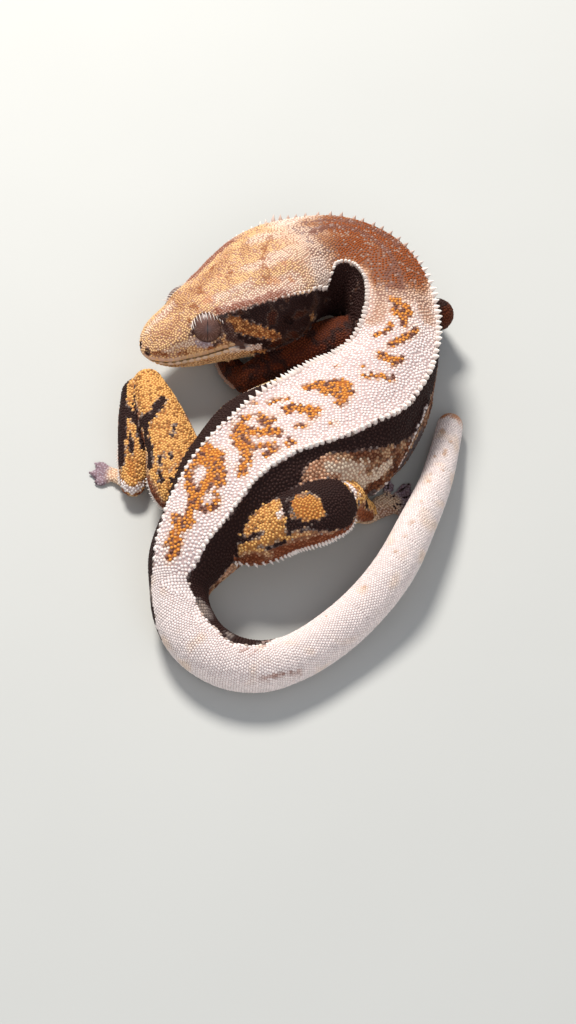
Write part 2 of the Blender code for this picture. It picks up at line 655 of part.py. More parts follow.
def build_head(body, head, skin, eye_material, group):
    additions = []
    cuts = []
    eyes = []
    for side, word in ((-1, "left"), (1, "right")):
        eye_centre = body.head_point(*EYE_PLACE, side)
        aim = body.head_vector(*EYE_AIM, side)
        additions.append(eye_rim(body, side, skin, group))
        additions.extend(lashes(body, side, skin, group))
        socket = EYE_RADIUS + GAP
        cuts.append(ball("socket", eye_centre, (socket, socket, socket), aim, skin, group))
        nostril = body.head_point(*NOSTRIL_PLACE, side)
        aim_out = body.head_vector(*NOSTRIL_AIM, side)
        cuts.append(ball("nostril", nostril, NOSTRIL_SIZE, aim_out, skin, group, 8, 5))
        ear = body.head_point(*EAR_PLACE, side)
        cuts.append(ball("ear", ear, EAR_SIZE, body.head_vector(*EAR_AIM, side), skin, group, 10, 6))
        eyes.append(ball(
            "eye_" + word, eye_centre, (EYE_RADIUS, EYE_RADIUS, EYE_RADIUS), aim, eye_material, group))
    cuts.append(mouth_slit(body, skin, group))
    combine(head, additions, "UNION")
    combine(head, cuts, "DIFFERENCE")
    keep_largest(head)
    return eyes


# Legs and feet

def leg_rings(rows, grow=0.0):
    """Rings along a leg, rounded at both ends."""
    rows = np.array(rows)
    dense, along, stations = smooth_line(rows[:, :3])
    length = along[-1]
    at = np.linspace(0, length, max(FEWEST_STEPS, round(length / LEG_STEP)) + 1)
    beyond, size_there = np.array(LEG_ROUNDING).T
    places = np.concatenate([-beyond[::-1] * rows[0, 3], at, length + beyond * rows[-1, 3]])
    shrink = np.concatenate([size_there[::-1], np.ones(len(at)), size_there])
    inner = np.clip(places, 0, length)
    steady = np.clip(inner, FRAME_REACH, length - FRAME_REACH)
    direction, right, up = frames_along(dense, along, steady)[1:]
    middle = np.stack([np.interp(inner, along, dense[:, i]) for i in range(3)], 1)
    centre = middle + direction * (places - inner)[:, None]
    wide = smooth_values(stations, rows[:, 3], inner) * shrink + grow
    high = smooth_values(stations, rows[:, 4], inner) * shrink + grow
    if grow:
        centre[0] -= direction[0] * grow
        centre[-1] += direction[-1] * grow
    turn = np.linspace(0, 2 * math.pi, LEG_SIDES, endpoint=False)
    across = np.sin(turn)[None, :, None] * wide[:, None, None] * right[:, None]
    above = np.cos(turn)[None, :, None] * high[:, None, None] * up[:, None]
    return centre[:, None] + across + above


def leg_fringe(rows, side, start, end, material, group):
    """Row of small spines along one edge of a leg."""
    rows = np.array(rows)
    dense, along, stations = smooth_line(rows[:, :3])
    made = []
    first = start * along[-1]
    count = int((end - start) * along[-1] / FRINGE_SPACING) + 1
    for i in range(count):
        at = np.array([first + i * FRINGE_SPACING])
        centre, direction, right, up = frames_along(dense, along, at)
        wide = smooth_values(stations, rows[:, 3], at)[0]
        high = smooth_values(stations, rows[:, 4], at)[0]
        lower = math.radians(FRINGE_LOWERED)
        root = centre[0] + side * right[0] * wide * math.cos(lower) - up[0] * high * math.sin(lower)
        outward = side * right[0] * math.cos(lower) - up[0] * math.sin(lower)
        made.append(spine(
            "fringe", root, outward, direction[0] * FRINGE_LEAN, FRINGE_LENGTH, FRINGE_HALF_WIDTH,
            material, group))
    return made


def toe(middle, heading, length, material, group):
    turn = math.radians(heading)
    along = np.array([math.cos(turn), math.sin(turn), 0.0])
    beside = np.array([-math.sin(turn), math.cos(turn), 0.0])
    start = np.array([middle[0], middle[1], 0.0]) + along * TOE_START
    rings = []
    for share, half_width, half_height, height in TOE_SECTIONS:
        centre = start + along * length * share + np.array([0.0, 0.0, height])
        angles = np.linspace(0, 2 * math.pi, TOE_SIDES, endpoint=False)[:, None]
        sides = beside * np.sin(angles) * half_width
        rings.append(centre + sides + np.array([0.0, 0.0, 1.0]) * np.cos(angles) * half_height)
    return loft("toe", rings, material, group)


def foot(name, heel, middle, toes, material, group):
    """Sole, ankle and five toes with broad pads, all flat on the floor."""
    reach = np.array([middle[0] - heel[0], middle[1] - heel[1], 0.0])
    direction = reach / np.linalg.norm(reach)
    beside = np.array([-direction[1], direction[0], 0.0])
    start = np.array([heel[0], heel[1], 0.0])
    rings = []
    for share, half_width, half_height, height in SOLE_SECTIONS:
        centre = start + reach * share + np.array([0.0, 0.0, height])
        angles = np.linspace(0, 2 * math.pi, LEG_SIDES, endpoint=False)[:, None]
        sides = beside * np.sin(angles) * half_width
        rings.append(centre + sides + np.array([0.0, 0.0, 1.0]) * np.cos(angles) * half_height)
    thing = loft(name, rings, material, group)
    combine(thing, [toe(middle, heading, length, material, group) for heading, length in toes], "UNION")
    return thing


# The model

def clear_scene():
    for thing in list(bpy.data.objects):
        bpy.data.objects.remove(thing, do_unlink=True)


def build():
    clear_scene()
    group = bpy.data.collections.new("crested_gecko")
    bpy.context.scene.collection.children.link(group)
    scratch = bpy.data.collections.new("cutters")
    bpy.context.scene.collection.children.link(scratch)
    cream = make_material("cream_skin", (0.80, 0.69, 0.60), 0.6)
    tan = make_material("tan_skin", (0.60, 0.36, 0.17), 0.55)
    golden = make_material("golden_skin", (0.56, 0.31, 0.08), 0.55)
    iris = make_material("eye", (0.12, 0.08, 0.06), 0.08)

    body = Body()
    things = []
    for name, start, end in BODY_PIECES:
        skin = tan if name in ("head", "neck") else cream
        things.append(body_piece(body, name, start, end, skin, group))
    things.extend(build_head(body, things[0], tan, iris, group))

    def body_cutter():
        at = np.linspace(END_MARGIN, body.length - END_MARGIN, CUTTER_RINGS)
        return loft("body_cutter", body.rings(at, TRUNK_SIDES, GAP), golden, scratch)

    for name, rows in LEGS.items():
        leg = loft(name, leg_rings(rows), golden, group)
        fringe = []
        for fringed, side, start, end in FRINGES:
            if fringed == name:
                fringe = leg_fringe(rows, side, start, end, golden, group)
        combine(leg, fringe, "UNION")
        cutters = [body_cutter()]
        upper = name.replace("shank", "thigh").replace("lower", "upper")
        if upper != name:
            cutters.append(loft("upper_cutter", leg_rings(LEGS[upper], GAP), golden, scratch))
        for cutter in cutters:
            combine(leg, [cutter], "DIFFERENCE")
        keep_largest(leg)
        things.append(leg)
    for name, (heel, middle, toes) in FEET.items():
        thing = foot(name, heel, middle, toes, golden, group)
        limb = name.replace("foot", "shank") if name.startswith("hind") else name.replace("foot", "lower")
        upper = limb.replace("shank", "thigh").replace("lower", "upper")
        for rows in (LEGS[limb], LEGS[upper]):
            combine(thing, [loft("cutter", leg_rings(rows, GAP), golden, scratch)], "DIFFERENCE")
        combine(thing, [body_cutter()], "DIFFERENCE")
        keep_largest(thing)
        things.append(thing)

    for thing in things:
        keep_largest(thing)
        for vertex in thing.data.vertices:
            x, y, z = vertex.co
            vertex.co = (
                (x + MOVE_TO_ORIGIN[0]) * MILLIMETRE, (y + MOVE_TO_ORIGIN[1]) * MILLIMETRE, z * MILLIMETRE)
        thing.data.shade_smooth()
        thing.data.set_sharp_from_angle(angle=math.radians(50.0))
    bpy.data.collections.remove(scratch)


build()
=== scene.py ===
import math

import bpy
import numpy as np
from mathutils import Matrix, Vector, noise
from mathutils.bvhtree import BVHTree
from mathutils.kdtree import KDTree


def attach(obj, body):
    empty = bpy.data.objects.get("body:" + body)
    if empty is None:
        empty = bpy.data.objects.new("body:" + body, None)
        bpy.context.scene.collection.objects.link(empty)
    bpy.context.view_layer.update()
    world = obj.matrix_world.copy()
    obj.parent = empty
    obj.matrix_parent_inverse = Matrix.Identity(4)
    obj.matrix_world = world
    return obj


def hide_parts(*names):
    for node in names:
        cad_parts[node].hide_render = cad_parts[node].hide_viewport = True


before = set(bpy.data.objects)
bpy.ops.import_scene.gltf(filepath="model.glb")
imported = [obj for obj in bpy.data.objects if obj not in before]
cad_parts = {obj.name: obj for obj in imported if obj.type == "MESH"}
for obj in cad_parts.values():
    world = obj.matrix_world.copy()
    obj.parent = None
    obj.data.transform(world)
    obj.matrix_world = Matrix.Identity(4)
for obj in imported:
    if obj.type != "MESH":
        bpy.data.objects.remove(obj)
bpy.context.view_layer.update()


# Studio: the animal lies on a plain pale floor and is seen from above its left side, through a
# long lens. A strong lamp stands over its far side, with a larger, weaker one on the camera's side.
MM = 0.001
CAMERA_ELEVATION = math.radians(52.0)
CAMERA_DISTANCE = 0.4
CAMERA_TARGET = Vector((0.0019, -0.01504, 0.009))
CAMERA_LENS = 158.2
FLOOR_SIZE = 3.0
FLOOR_COLOUR = (0.52, 0.52, 0.50)
# Lamp: place, size, power in watts, colour
LAMPS = (
    ("lamp_over", (-0.12, 0.30, 0.44), 0.16, 4.0, (1.0, 0.97, 0.92)),
    ("lamp_front", (0.12, -0.50, 0.40), 0.50, 1.5, (0.95, 0.97, 1.0)),
)
SKY_COLOUR = (0.80, 0.86, 0.95)
SKY_STRENGTH = 0.36


def linear(red, green, blue):
    """A colour as seen, in parts of 255, as the light values that a shader takes."""
    shown = np.array([red, green, blue]) / 255
    return (*np.where(shown > 0.04045, ((shown + 0.055) / 1.055) ** 2.4, shown / 12.92).tolist(), 1.0)


class Paint:
    """What a node of a material gives. Arithmetic with it adds the nodes that work it out."""

    def __init__(self, tree, socket=None):
        self.tree = tree
        self.socket = socket

    def node(self, kind, settings=None, sockets=None, output=0):
        made = self.tree.nodes.new("ShaderNode" + kind)
        for name, value in (settings or {}).items():
            setattr(made, name, value)
        for name, value in (sockets or {}).items():
            if isinstance(value, Paint):
                self.tree.links.new(value.socket, made.inputs[name])
            else:
                made.inputs[name].default_value = value
        return Paint(self.tree, made.outputs[output])

    def math(self, operation, first, second):
        plain = [
            x.socket.type == "VALUE" if isinstance(x, Paint) else not isinstance(x, tuple)
            for x in (first, second)]
        if all(plain):
            return self.node("Math", {"operation": operation}, {0: first, 1: second})
        first, second = (
            x if isinstance(x, Paint) else x[:3] if isinstance(x, tuple) else (x, x, x)
            for x in (first, second))
        return self.node("VectorMath", {"operation": operation}, {0: first, 1: second})

    def __add__(self, other):
        return self.math("ADD", self, other)

    def __sub__(self, other):
        return self.math("SUBTRACT", self, other)

    def __mul__(self, other):
        return self.math("MULTIPLY", self, other)

    def __rsub__(self, other):
        return self.math("SUBTRACT", other, self)

    __radd__ = __add__
    __rmul__ = __mul__

    def blend(self, first, second):
        """The first colour turned into the second by this share from 0 to 1."""
        return self.node("Mix", {"data_type": "RGBA"}, {0: self, 6: first, 7: second}, output=2)

    def between(self, low, high):
        """0 where this value is low, 1 where it is high, smooth in between."""
        return self.node(
            "MapRange", {"interpolation_type": "SMOOTHSTEP"},
            {"Value": self, "From Min": low, "From Max": high})


def new_material(name, roughness, **fixed):
    """A material with its shader, whose plain sockets are set by name, and a start for its paint."""
    material = bpy.data.materials.new(name)
    material.use_nodes = True
    shader = material.node_tree.nodes["Principled BSDF"]
    shader.inputs["Roughness"].default_value = roughness
    for socket, value in fixed.items():
        shader.inputs[socket.replace("_", " ").title().replace("Ior", "IOR")].default_value = value
    return material, shader, Paint(material.node_tree)


def feed(shader, **links):
    """Links paints to a shader's sockets by name."""
    for socket, paint in links.items():
        paint.tree.links.new(paint.socket, shader.inputs[socket.replace("_", " ").title()])


floor_material, floor_shader, paint = new_material("studio_floor", 0.85)
speckle = paint.node("TexNoise", None, {"Scale": 60.0, "Detail": 3.0})
floor_tone = 0.97 + speckle * 0.06
feed(floor_shader, base_color=floor_tone * FLOOR_COLOUR)
bpy.ops.mesh.primitive_plane_add(size=FLOOR_SIZE)
floor = bpy.context.object
floor.name = "studio_floor"
floor.data.materials.append(floor_material)

camera = bpy.data.objects.new("camera", bpy.data.cameras.new("camera"))
bpy.context.scene.collection.objects.link(camera)
looks = Vector((0.0, math.cos(CAMERA_ELEVATION), -math.sin(CAMERA_ELEVATION)))
camera.location = CAMERA_TARGET - looks * CAMERA_DISTANCE
camera.rotation_euler = looks.to_track_quat("-Z", "Y").to_euler()
camera.data.sensor_fit = "HORIZONTAL"
camera.data.sensor_width = 36.0
camera.data.lens = CAMERA_LENS
camera.data.clip_start = 0.01
bpy.context.scene.camera = camera

for name, place, size, power, colour in LAMPS:
    lamp = bpy.data.objects.new(name, bpy.data.lights.new(name, "AREA"))
    lamp.data.shape = "DISK"
    lamp.data.size = size
    lamp.data.energy = power
    lamp.data.color = colour
    lamp.location = place
    lamp.rotation_euler = (CAMERA_TARGET - Vector(place)).to_track_quat("-Z", "Y").to_euler()
    bpy.context.scene.collection.objects.link(lamp)

sky = bpy.data.worlds.new("studio_sky")
sky.use_nodes = True
sky.node_tree.nodes["Background"].inputs["Color"].default_value = (*SKY_COLOUR, 1.0)
sky.node_tree.nodes["Background"].inputs["Strength"].default_value = SKY_STRENGTH
bpy.context.scene.world = sky
bpy.context.scene.view_settings.view_transform = "Standard"


# The skin: one closed surface over trunk, head, tail, legs and feet, without a seam. It lies a
# scale's height inside the solids. Sections run along one line from the snout to the tail tip.
# All places are millimetres in the drawing until a piece is made.
TO_FRAME = np.array([1.9, -15.04, 0.0])
SCALE_DEPTH = 0.20
LOWEST_SKIN = 0.12
VOXEL = 0.27
SNOUT_TIP = (-24.3, 34.0, 8.2)
HEAD_HEADING = math.radians(31.0)
HEAD_PITCH = math.radians(-4.0)
HEAD_ROLL = -13.0
# Behind the tip, half width on the left and on the right, rise, depth, squareness
HEAD_SECTIONS = (
    (0.0, 3.9, 3.9, 2.6, 2.2, 2.2), (3.0, 4.8, 4.8, 3.7, 3.5, 2.2), (7.0, 5.8, 5.8, 5.0, 5.5, 2.2),
    (11.0, 7.0, 6.9, 6.4, 6.6, 2.2), (15.0, 8.8, 8.2, 6.9, 7.2, 2.3), (19.0, 10.7, 9.9, 7.5, 7.4, 2.4),
    (24.0, 11.6, 11.2, 8.4, 7.2, 2.4), (28.0, 9.8, 11.0, 8.7, 6.9, 2.4),
)
# Centre, half width on the left and on the right, rise, depth, roll, squareness
BODY_SECTIONS = (
    (7.4, 51.4, 9.8, 6.2, 8.8, 8.2, 8.0, -8.0, 2.4), (13.0, 49.6, 9.7, 6.6, 7.6, 7.8, 9.2, -8.0, 2.4),
    (16.6, 44.6, 9.5, 7.2, 6.9, 7.8, 9.2, -9.0, 2.4), (17.8, 38.2, 9.3, 7.4, 6.8, 8.0, 9.3, -9.0, 2.4),
    (17.3, 30.6, 9.2, 7.4, 7.4, 8.4, 9.6, -6.0, 2.4), (14.2, 23.0, 9.2, 9.6, 9.2, 8.6, 9.6, 1.0, 2.4),
    (8.0, 16.0, 9.2, 14.0, 11.6, 8.6, 9.6, 9.0, 2.4), (-0.5, 10.2, 9.0, 15.8, 12.2, 8.4, 9.4, 12.0, 2.4),
    (-7.8, 4.1, 8.6, 11.5, 10.2, 8.0, 9.0, 10.0, 2.4), (-12.8, -3.0, 8.0, 7.6, 7.6, 7.4, 8.2, 5.0, 2.3),
    (-16.1, -9.5, 7.2, 6.0, 5.7, 6.4, 7.4, 2.0, 2.2), (-16.9, -14.6, 6.0, 4.6, 4.6, 5.2, 6.3, 0.0, 2.1),
    (-15.6, -19.3, 5.4, 4.6, 4.6, 4.6, 5.7, 0.0, 2.0), (-13.1, -22.9, 5.0, 4.4, 4.4, 4.4, 5.3, 0.0, 2.0),
    (-8.9, -25.6, 4.6, 4.2, 4.2, 4.2, 4.9, 0.0, 2.0), (-4.0, -26.2, 4.3, 4.0, 4.0, 4.0, 4.6, 0.0, 2.0),
    (1.2, -24.3, 4.0, 3.7, 3.7, 3.7, 4.2, 0.0, 2.0), (7.0, -20.0, 4.0, 3.7, 3.7, 3.7, 4.0, 0.0, 2.0),
    (12.2, -14.9, 4.8, 3.6, 3.6, 3.6, 3.7, 0.0, 2.0), (16.7, -8.8, 5.9, 3.5, 3.5, 3.5, 3.6, 0.0, 2.0),
    (20.7, 0.4, 5.9, 3.15, 3.15, 3.15, 3.3, 0.0, 2.0), (23.8, 9.1, 5.0, 2.75, 2.75, 2.75, 2.9, 0.0, 2.0),
    (26.1, 19.3, 3.2, 2.4, 2.4, 2.3, 2.8, 0.0, 2.0), (27.2, 25.4, 2.3, 2.2, 2.2, 1.9, 2.5, 0.0, 2.0),
)
SNOUT_ROUNDING = 4.2
TAIL_ROUNDING = 2.2
LOWER_SQUARENESS = 0.6
LINE_STEP = 0.25
FRAME_REACH = 0.6
# Crest: distance along the body, and how far from the middle line it runs on each side
CREST = np.array((
    (12.0, 5.4, 5.0), (15.0, 6.6, 5.9), (19.0, 8.2, 7.4), (25.0, 9.8, 8.6), (31.0, 8.0, 8.0),
    (36.0, 5.2, 6.6), (42.0, 4.5, 5.6), (50.0, 5.0, 5.2), (58.0, 5.8, 5.5), (68.0, 7.4, 6.7),
    (76.0, 8.6, 8.0), (85.0, 8.4, 7.7), (95.0, 6.4, 6.2), (103.0, 5.4, 5.3), (109.0, 5.0, 4.5),
    (114.0, 4.4, 3.5), (118.0, 4.0, 2.6),
))
FOLD_RISE = 0.75
FOLD_HALF_WIDTH = 1.0
FOLD_SPAN = (11.0, 14.0, 111.0, 119.0)
# Swellings and hollows: along, degrees from the top, reach along, reach round, height. Both sides alike.
SWELLINGS = (
    (10.2, 36.0, 3.0, 15.0, 0.35), (5.2, 52.0, 2.4, 10.0, 0.22), (5.6, 78.0, 2.2, 14.0, -0.30),
    (1.7, 48.0, 0.9, 12.0, 0.22), (6.5, 0.0, 3.0, 16.0, -0.28), (19.5, 88.0, 4.0, 26.0, 0.45),
    (22.0, 20.0, 4.5, 11.0, 0.25), (22.6, 84.0, 1.3, 9.0, -0.55), (14.5, 62.0, 1.8, 16.0, -0.35),
    (31.5, 90.0, 2.2, 34.0, -0.45), (11.5, 118.0, 4.0, 14.0, 0.25), (26.0, 0.0, 4.0, 10.0, -0.2),
)
# Folds of loose skin: height, half width, and the points along and round that they pass
FOLDS = (
    (0.55, 0.55, (69.3, 74.0), (73.0, 82.0), (76.8, 92.0), (80.0, 108.0), (82.0, 122.0)),
    (0.35, 0.50, (66.0, 96.0), (70.0, 104.0), (74.0, 116.0), (77.0, 128.0)),
    (0.40, 0.55, (91.0, 92.0), (96.0, 88.0), (101.0, 92.0), (106.0, 98.0)),
    (0.40, 0.55, (41.5, -62.0), (42.0, -84.0), (43.0, -112.0)),
    (0.40, 0.55, (46.0, -58.0), (46.5, -84.0), (47.5, -112.0)),
    (0.38, 0.55, (50.5, -62.0), (51.0, -86.0), (52.0, -112.0)),
    (0.35, 0.60, (34.0, -76.0), (35.0, -96.0), (36.5, -118.0)),
    (0.35, 0.60, (56.0, -70.0), (57.5, -92.0), (59.5, -116.0)),
    (0.35, 0.60, (33.0, 84.0), (35.0, 104.0), (38.0, 126.0)),
)
FOLD_RADIUS = 8.0
# Legs: centre, half width, half height
LEGS = {
    "hind_left_thigh": (
        (-12.0, 1.5, 7.0, 4.0, 3.6), (-17.0, 7.0, 7.3, 5.2, 3.6), (-19.0, 15.5, 7.6, 4.4, 3.4),
        (-21.6, 23.6, 7.0, 3.7, 3.2), (-23.2, 29.0, 6.4, 2.7, 2.6)),
    "hind_left_shank": (
        (-24.9, 27.9, 5.2, 2.9, 2.5), (-24.9, 22.5, 4.8, 3.2, 2.6), (-25.0, 15.5, 3.9, 2.9, 2.2),
        (-25.2, 10.6, 2.9, 2.2, 1.9)),
    "hind_right_thigh": (
        (-9.0, -3.0, 7.5, 4.0, 4.0), (-5.4, -4.4, 8.8, 5.2, 4.6), (-1.0, -2.7, 10.2, 5.8, 4.8),
        (3.2, -1.6, 11.2, 6.1, 4.8), (6.8, -0.3, 11.2, 5.4, 4.4), (9.2, 1.2, 10.6, 3.2, 3.2)),
    "hind_right_shank": (
        (9.4, 1.8, 9.4, 2.8, 2.8), (10.6, 3.2, 6.2, 2.7, 2.6), (12.4, 5.0, 2.9, 2.0, 2.0)),
    "fore_left_upper": (
        (13.0, 37.9, 8.0, 4.3, 3.4), (8.4, 37.8, 7.5, 4.5, 3.3), (0.3, 35.0, 6.0, 3.6, 3.0),
        (-6.4, 32.0, 4.8, 2.4, 2.4)),
    "fore_left_lower": (
        (-7.0, 31.6, 4.2, 2.3, 2.3), (-9.2, 35.0, 3.0, 2.1, 1.8), (-10.8, 38.6, 2.1, 1.6, 1.5)),
    "fore_right_upper": (
        (17.5, 39.5, 8.0, 3.0, 3.0), (21.5, 41.6, 8.2, 3.4, 3.2), (25.2, 43.6, 7.4, 2.9, 2.9)),
    "fore_right_lower": (
        (25.2, 44.6, 6.2, 2.4, 2.4), (23.6, 48.6, 4.0, 2.0, 1.9), (19.6, 52.0, 2.2, 1.6, 1.5)),
}
LEG_ROUNDING = ((0.25, 0.97), (0.45, 0.88), (0.65, 0.75), (0.82, 0.56), (0.92, 0.35))
# Feet: heel, middle of the sole, and for each toe its heading and length
FEET = {
    "hind_left_foot": (
        (-25.7, 12.0), (-27.0, 14.0), ((194.0, 4.4), (172.0, 5.2), (150.0, 5.2), (84.0, 6.0), (50.0, 5.0))),
    "hind_right_foot": (
        (12.7, 5.2), (15.8, 7.8), ((-28.0, 4.6), (-2.0, 6.0), (24.0, 6.4), (48.0, 6.0), (82.0, 5.0))),
    "fore_left_foot": (
        (-11.0, 39.0), (-12.2, 41.0), ((45.0, 4.6), (80.0, 5.2), (110.0, 5.6), (142.0, 5.4), (182.0, 4.8))),
    "fore_right_foot": (
        (19.2, 52.3), (17.2, 53.6), ((72.0, 4.6), (100.0, 5.2), (128.0, 5.6), (158.0, 5.4), (196.0, 4.8))),
}
# Share of the way, half width, half height, height of the middle
SOLE_SECTIONS = np.array((
    (-0.45, 0.5, 0.5, 1.9), (-0.30, 1.2, 1.2, 1.75), (0.0, 1.55, 1.5, 1.5), (0.5, 1.75, 1.15, 1.05),
    (1.0, 2.2, 0.95, 0.85), (1.35, 1.8, 0.75, 0.7), (1.6, 0.9, 0.5, 0.55),
))
TOE_SECTIONS = np.array((
    (0.0, 0.85, 0.80, 0.70), (0.30, 0.62, 0.62, 0.60), (0.52, 0.66, 0.58, 0.52), (0.66, 0.98, 0.56, 0.46),
    (0.80, 0.98, 0.52, 0.42), (0.88, 0.50, 0.42, 0.46), (0.94, 0.30, 0.30, 0.56), (1.0, 0.16, 0.18, 0.42),
))
TOE_START = 0.6
FOOT_SINK = 0.06
BODY_STEP = 0.8
BODY_SIDES = 120
LEG_STEP = 0.7
LEG_SIDES = 44
FOOT_RINGS = 26
FOOT_SIDES = 20


def smooth_values(places, values, at):
    """Monotone cubic through values at places."""
    places = np.asarray(places, float)
    values = np.asarray(values, float)
    width = np.diff(places)
    slope = np.diff(values) / width
    tangent = np.zeros(len(places))
    near = 2 * width[1:] + width[:-1]
    far = width[1:] + 2 * width[:-1]
    same = slope[:-1] * slope[1:] > 0
    tangent[1:-1][same] = (
        (near + far)[same] / (near[same] / slope[:-1][same] + far[same] / slope[1:][same]))
    tangent[0] = slope[0]
    tangent[-1] = slope[-1]
    at = np.clip(np.asarray(at, float), places[0], places[-1])
    k = np.clip(np.searchsorted(places, at, side="right") - 1, 0, len(places) - 2)
    t = (at - places[k]) / width[k]
    start = (1 + 2 * t) * (1 - t) ** 2 * values[k] + t * (1 - t) ** 2 * width[k] * tangent[k]
    return start + t * t * (3 - 2 * t) * values[k + 1] + t * t * (t - 1) * width[k] * tangent[k + 1]


def smooth_line(points):
    """Centripetal curve through points: its dense points, their lengths along it, the points' lengths."""
    given = np.asarray(points, float)
    padded = np.vstack([2 * given[0] - given[1], given, 2 * given[-1] - given[-2]])
    dense = [padded[1]]
    stations = [0]
    for i in range(1, len(padded) - 2):
        p0, p1, p2, p3 = padded[i - 1:i + 3]
        t0 = 0.0
        t1 = t0 + np.linalg.norm(p1 - p0) ** 0.5
        t2 = t1 + np.linalg.norm(p2 - p1) ** 0.5
        t3 = t2 + np.linalg.norm(p3 - p2) ** 0.5
        t = np.linspace(t1, t2, max(4, int(np.linalg.norm(p2 - p1) / LINE_STEP)) + 1)[1:, None]
        a1 = ((t1 - t) * p0 + (t - t0) * p1) / (t1 - t0)
        a2 = ((t2 - t) * p1 + (t - t1) * p2) / (t2 - t1)
        a3 = ((t3 - t) * p2 + (t - t2) * p3) / (t3 - t2)
        b1 = ((t2 - t) * a1 + (t - t0) * a2) / (t2 - t0)
        b2 = ((t3 - t) * a2 + (t - t1) * a3) / (t3 - t1)
        dense.extend(((t2 - t) * b1 + (t - t1) * b2) / (t2 - t1))
        stations.append(len(dense) - 1)
    dense = np.array(dense)
    along = np.concatenate([[0.0], np.cumsum(np.linalg.norm(np.diff(dense, axis=0), axis=1))])
    return dense, along, along[stations]


def line_points(dense, along, at):
    """Points on a line at the given lengths."""
    return np.stack([np.interp(at, along, dense[:, i]) for i in range(3)], 1)


def frames_along(dense, along, at):
    """Direction, right and up on a line at the given lengths; right is the animal's right."""
    direction = line_points(dense, along, at + FRAME_REACH) - line_points(dense, along, at - FRAME_REACH)
    direction /= np.linalg.norm(direction, axis=1)[:, None]
    up = np.array([0.0, 0.0, 1.0]) - direction[:, 2:3] * direction
    up /= np.linalg.norm(up, axis=1)[:, None]
    return direction, np.cross(-direction, up), up


head_back = np.array([
    math.cos(HEAD_HEADING) * math.cos(HEAD_PITCH), math.sin(HEAD_HEADING) * math.cos(HEAD_PITCH),
    -math.sin(HEAD_PITCH)])
body_line, body_along, body_stations = smooth_line(
    [np.array(SNOUT_TIP) + row[0] * head_back for row in HEAD_SECTIONS]
    + [np.array(row[:3]) for row in BODY_SECTIONS])
body_rows = np.array(
    [row[1:5] + (HEAD_ROLL, row[5]) for row in HEAD_SECTIONS] + [row[3:] for row in BODY_SECTIONS])
BODY_LENGTH = body_along[-1]


def body_frame(at):
    """Centre, direction, right and up of the sections, rolled as the body lies."""
    direction, right, up = frames_along(body_line, body_along, at)
    roll = np.radians(smooth_values(body_stations, body_rows[:, 4], at))[:, None]
    centre = line_points(body_line, body_along, at)
    across = right * np.cos(roll) + up * np.sin(roll)
    return centre, direction, across, up * np.cos(roll) - right * np.sin(roll)


def body_sizes(at):
    """Half width on the left and on the right, rise, depth and squareness of the sections."""
    left, right, rise, depth, square = (
        smooth_values(body_stations, body_rows[:, i], at) for i in (0, 1, 2, 3, 5))
    snout = 1 - np.clip(at / SNOUT_ROUNDING, 0, 1)
    tip = 1 - np.clip((BODY_LENGTH - at) / TAIL_ROUNDING, 0, 1)
    cap = np.sqrt(1 - snout ** 2) * np.sqrt(1 - tip ** 2)
    return left * cap, right * cap, rise * cap, depth * cap, square


def crest_offset(at, turn):
    """How far the crest runs from the middle line, on the side that turn is on."""
    left = smooth_values(CREST[:, 0], CREST[:, 1], at)
    return np.where(turn >= 0, smooth_values(CREST[:, 0], CREST[:, 2], at), left)


def past_line(at, across, points):
    """Distance of points from a chain of straight stretches, in the plane of at and across."""
    nearest = np.full(np.shape(at), 1e9)
    for (a0, x0), (a1, x1) in zip(points, points[1:] or points):
        length = (a1 - a0) ** 2 + (x1 - x0) ** 2 + 1e-9
        share = np.clip(((at - a0) * (a1 - a0) + (across - x0) * (x1 - x0)) / length, 0, 1)
        nearest = np.minimum(
            nearest, np.hypot(at - a0 - share * (a1 - a0), across - x0 - share * (x1 - x0)))
    return nearest


def swell_of(at, turn):
    """How far swellings and folds of skin lift the surface."""
    degrees = np.degrees(turn)
    lift = np.zeros(np.broadcast(at, turn).shape)
    for place, round_at, reach, reach_round, height in SWELLINGS:
        for side in (-1, 1):
            away = (degrees - side * round_at + 180) % 360 - 180
            share = 0.5 if round_at == 0 else 1.0
            lift += share * height * np.exp(-((at - place) / reach) ** 2 - (away / reach_round) ** 2)
    for height, half_width, *points in FOLDS:
        away = past_line(at, turn * FOLD_RADIUS, [(p[0], math.radians(p[1]) * FOLD_RADIUS) for p in points])
        lift += height * np.exp(-(away / half_width) ** 2)
    return lift


def body_surface(at, turn, grow=0.0):
    """Points of the skin at lengths (rows) and turns from the top towards the right (columns)."""
    left, right_size, rise, depth, square = (v[:, None] for v in body_sizes(at))
    cosine = np.cos(turn)
    sine = np.sin(turn)
    upper = cosine >= 0
    power = 2 / np.where(upper, square, 2 + LOWER_SQUARENESS * (square - 2))
    across = np.where(sine >= 0, right_size, left) * np.sign(sine) * np.abs(sine) ** power
    high = np.where(upper, rise, depth) * np.sign(cosine) * np.abs(cosine) ** power
    crest = crest_offset(at[:, None], sine)
    start, full, fading, end = FOLD_SPAN
    shown = np.clip((at - start) / (full - start), 0, 1) * np.clip((end - at) / (end - fading), 0, 1)
    ridge = FOLD_RISE * shown[:, None] * np.exp(-((np.abs(across) - crest) / FOLD_HALF_WIDTH) ** 2)
    size = np.sqrt(across ** 2 + high ** 2) + 1e-9
    grow = grow + np.where(upper, ridge, 0.0) + swell_of(at[:, None], turn)
    across = across * (1 + grow / size)
    high = high * (1 + grow / size)
    centre, direction, right, up = body_frame(at)
    places = centre[:, None] + right[:, None] * across[..., None] + up[:, None] * high[..., None]
    return places, across


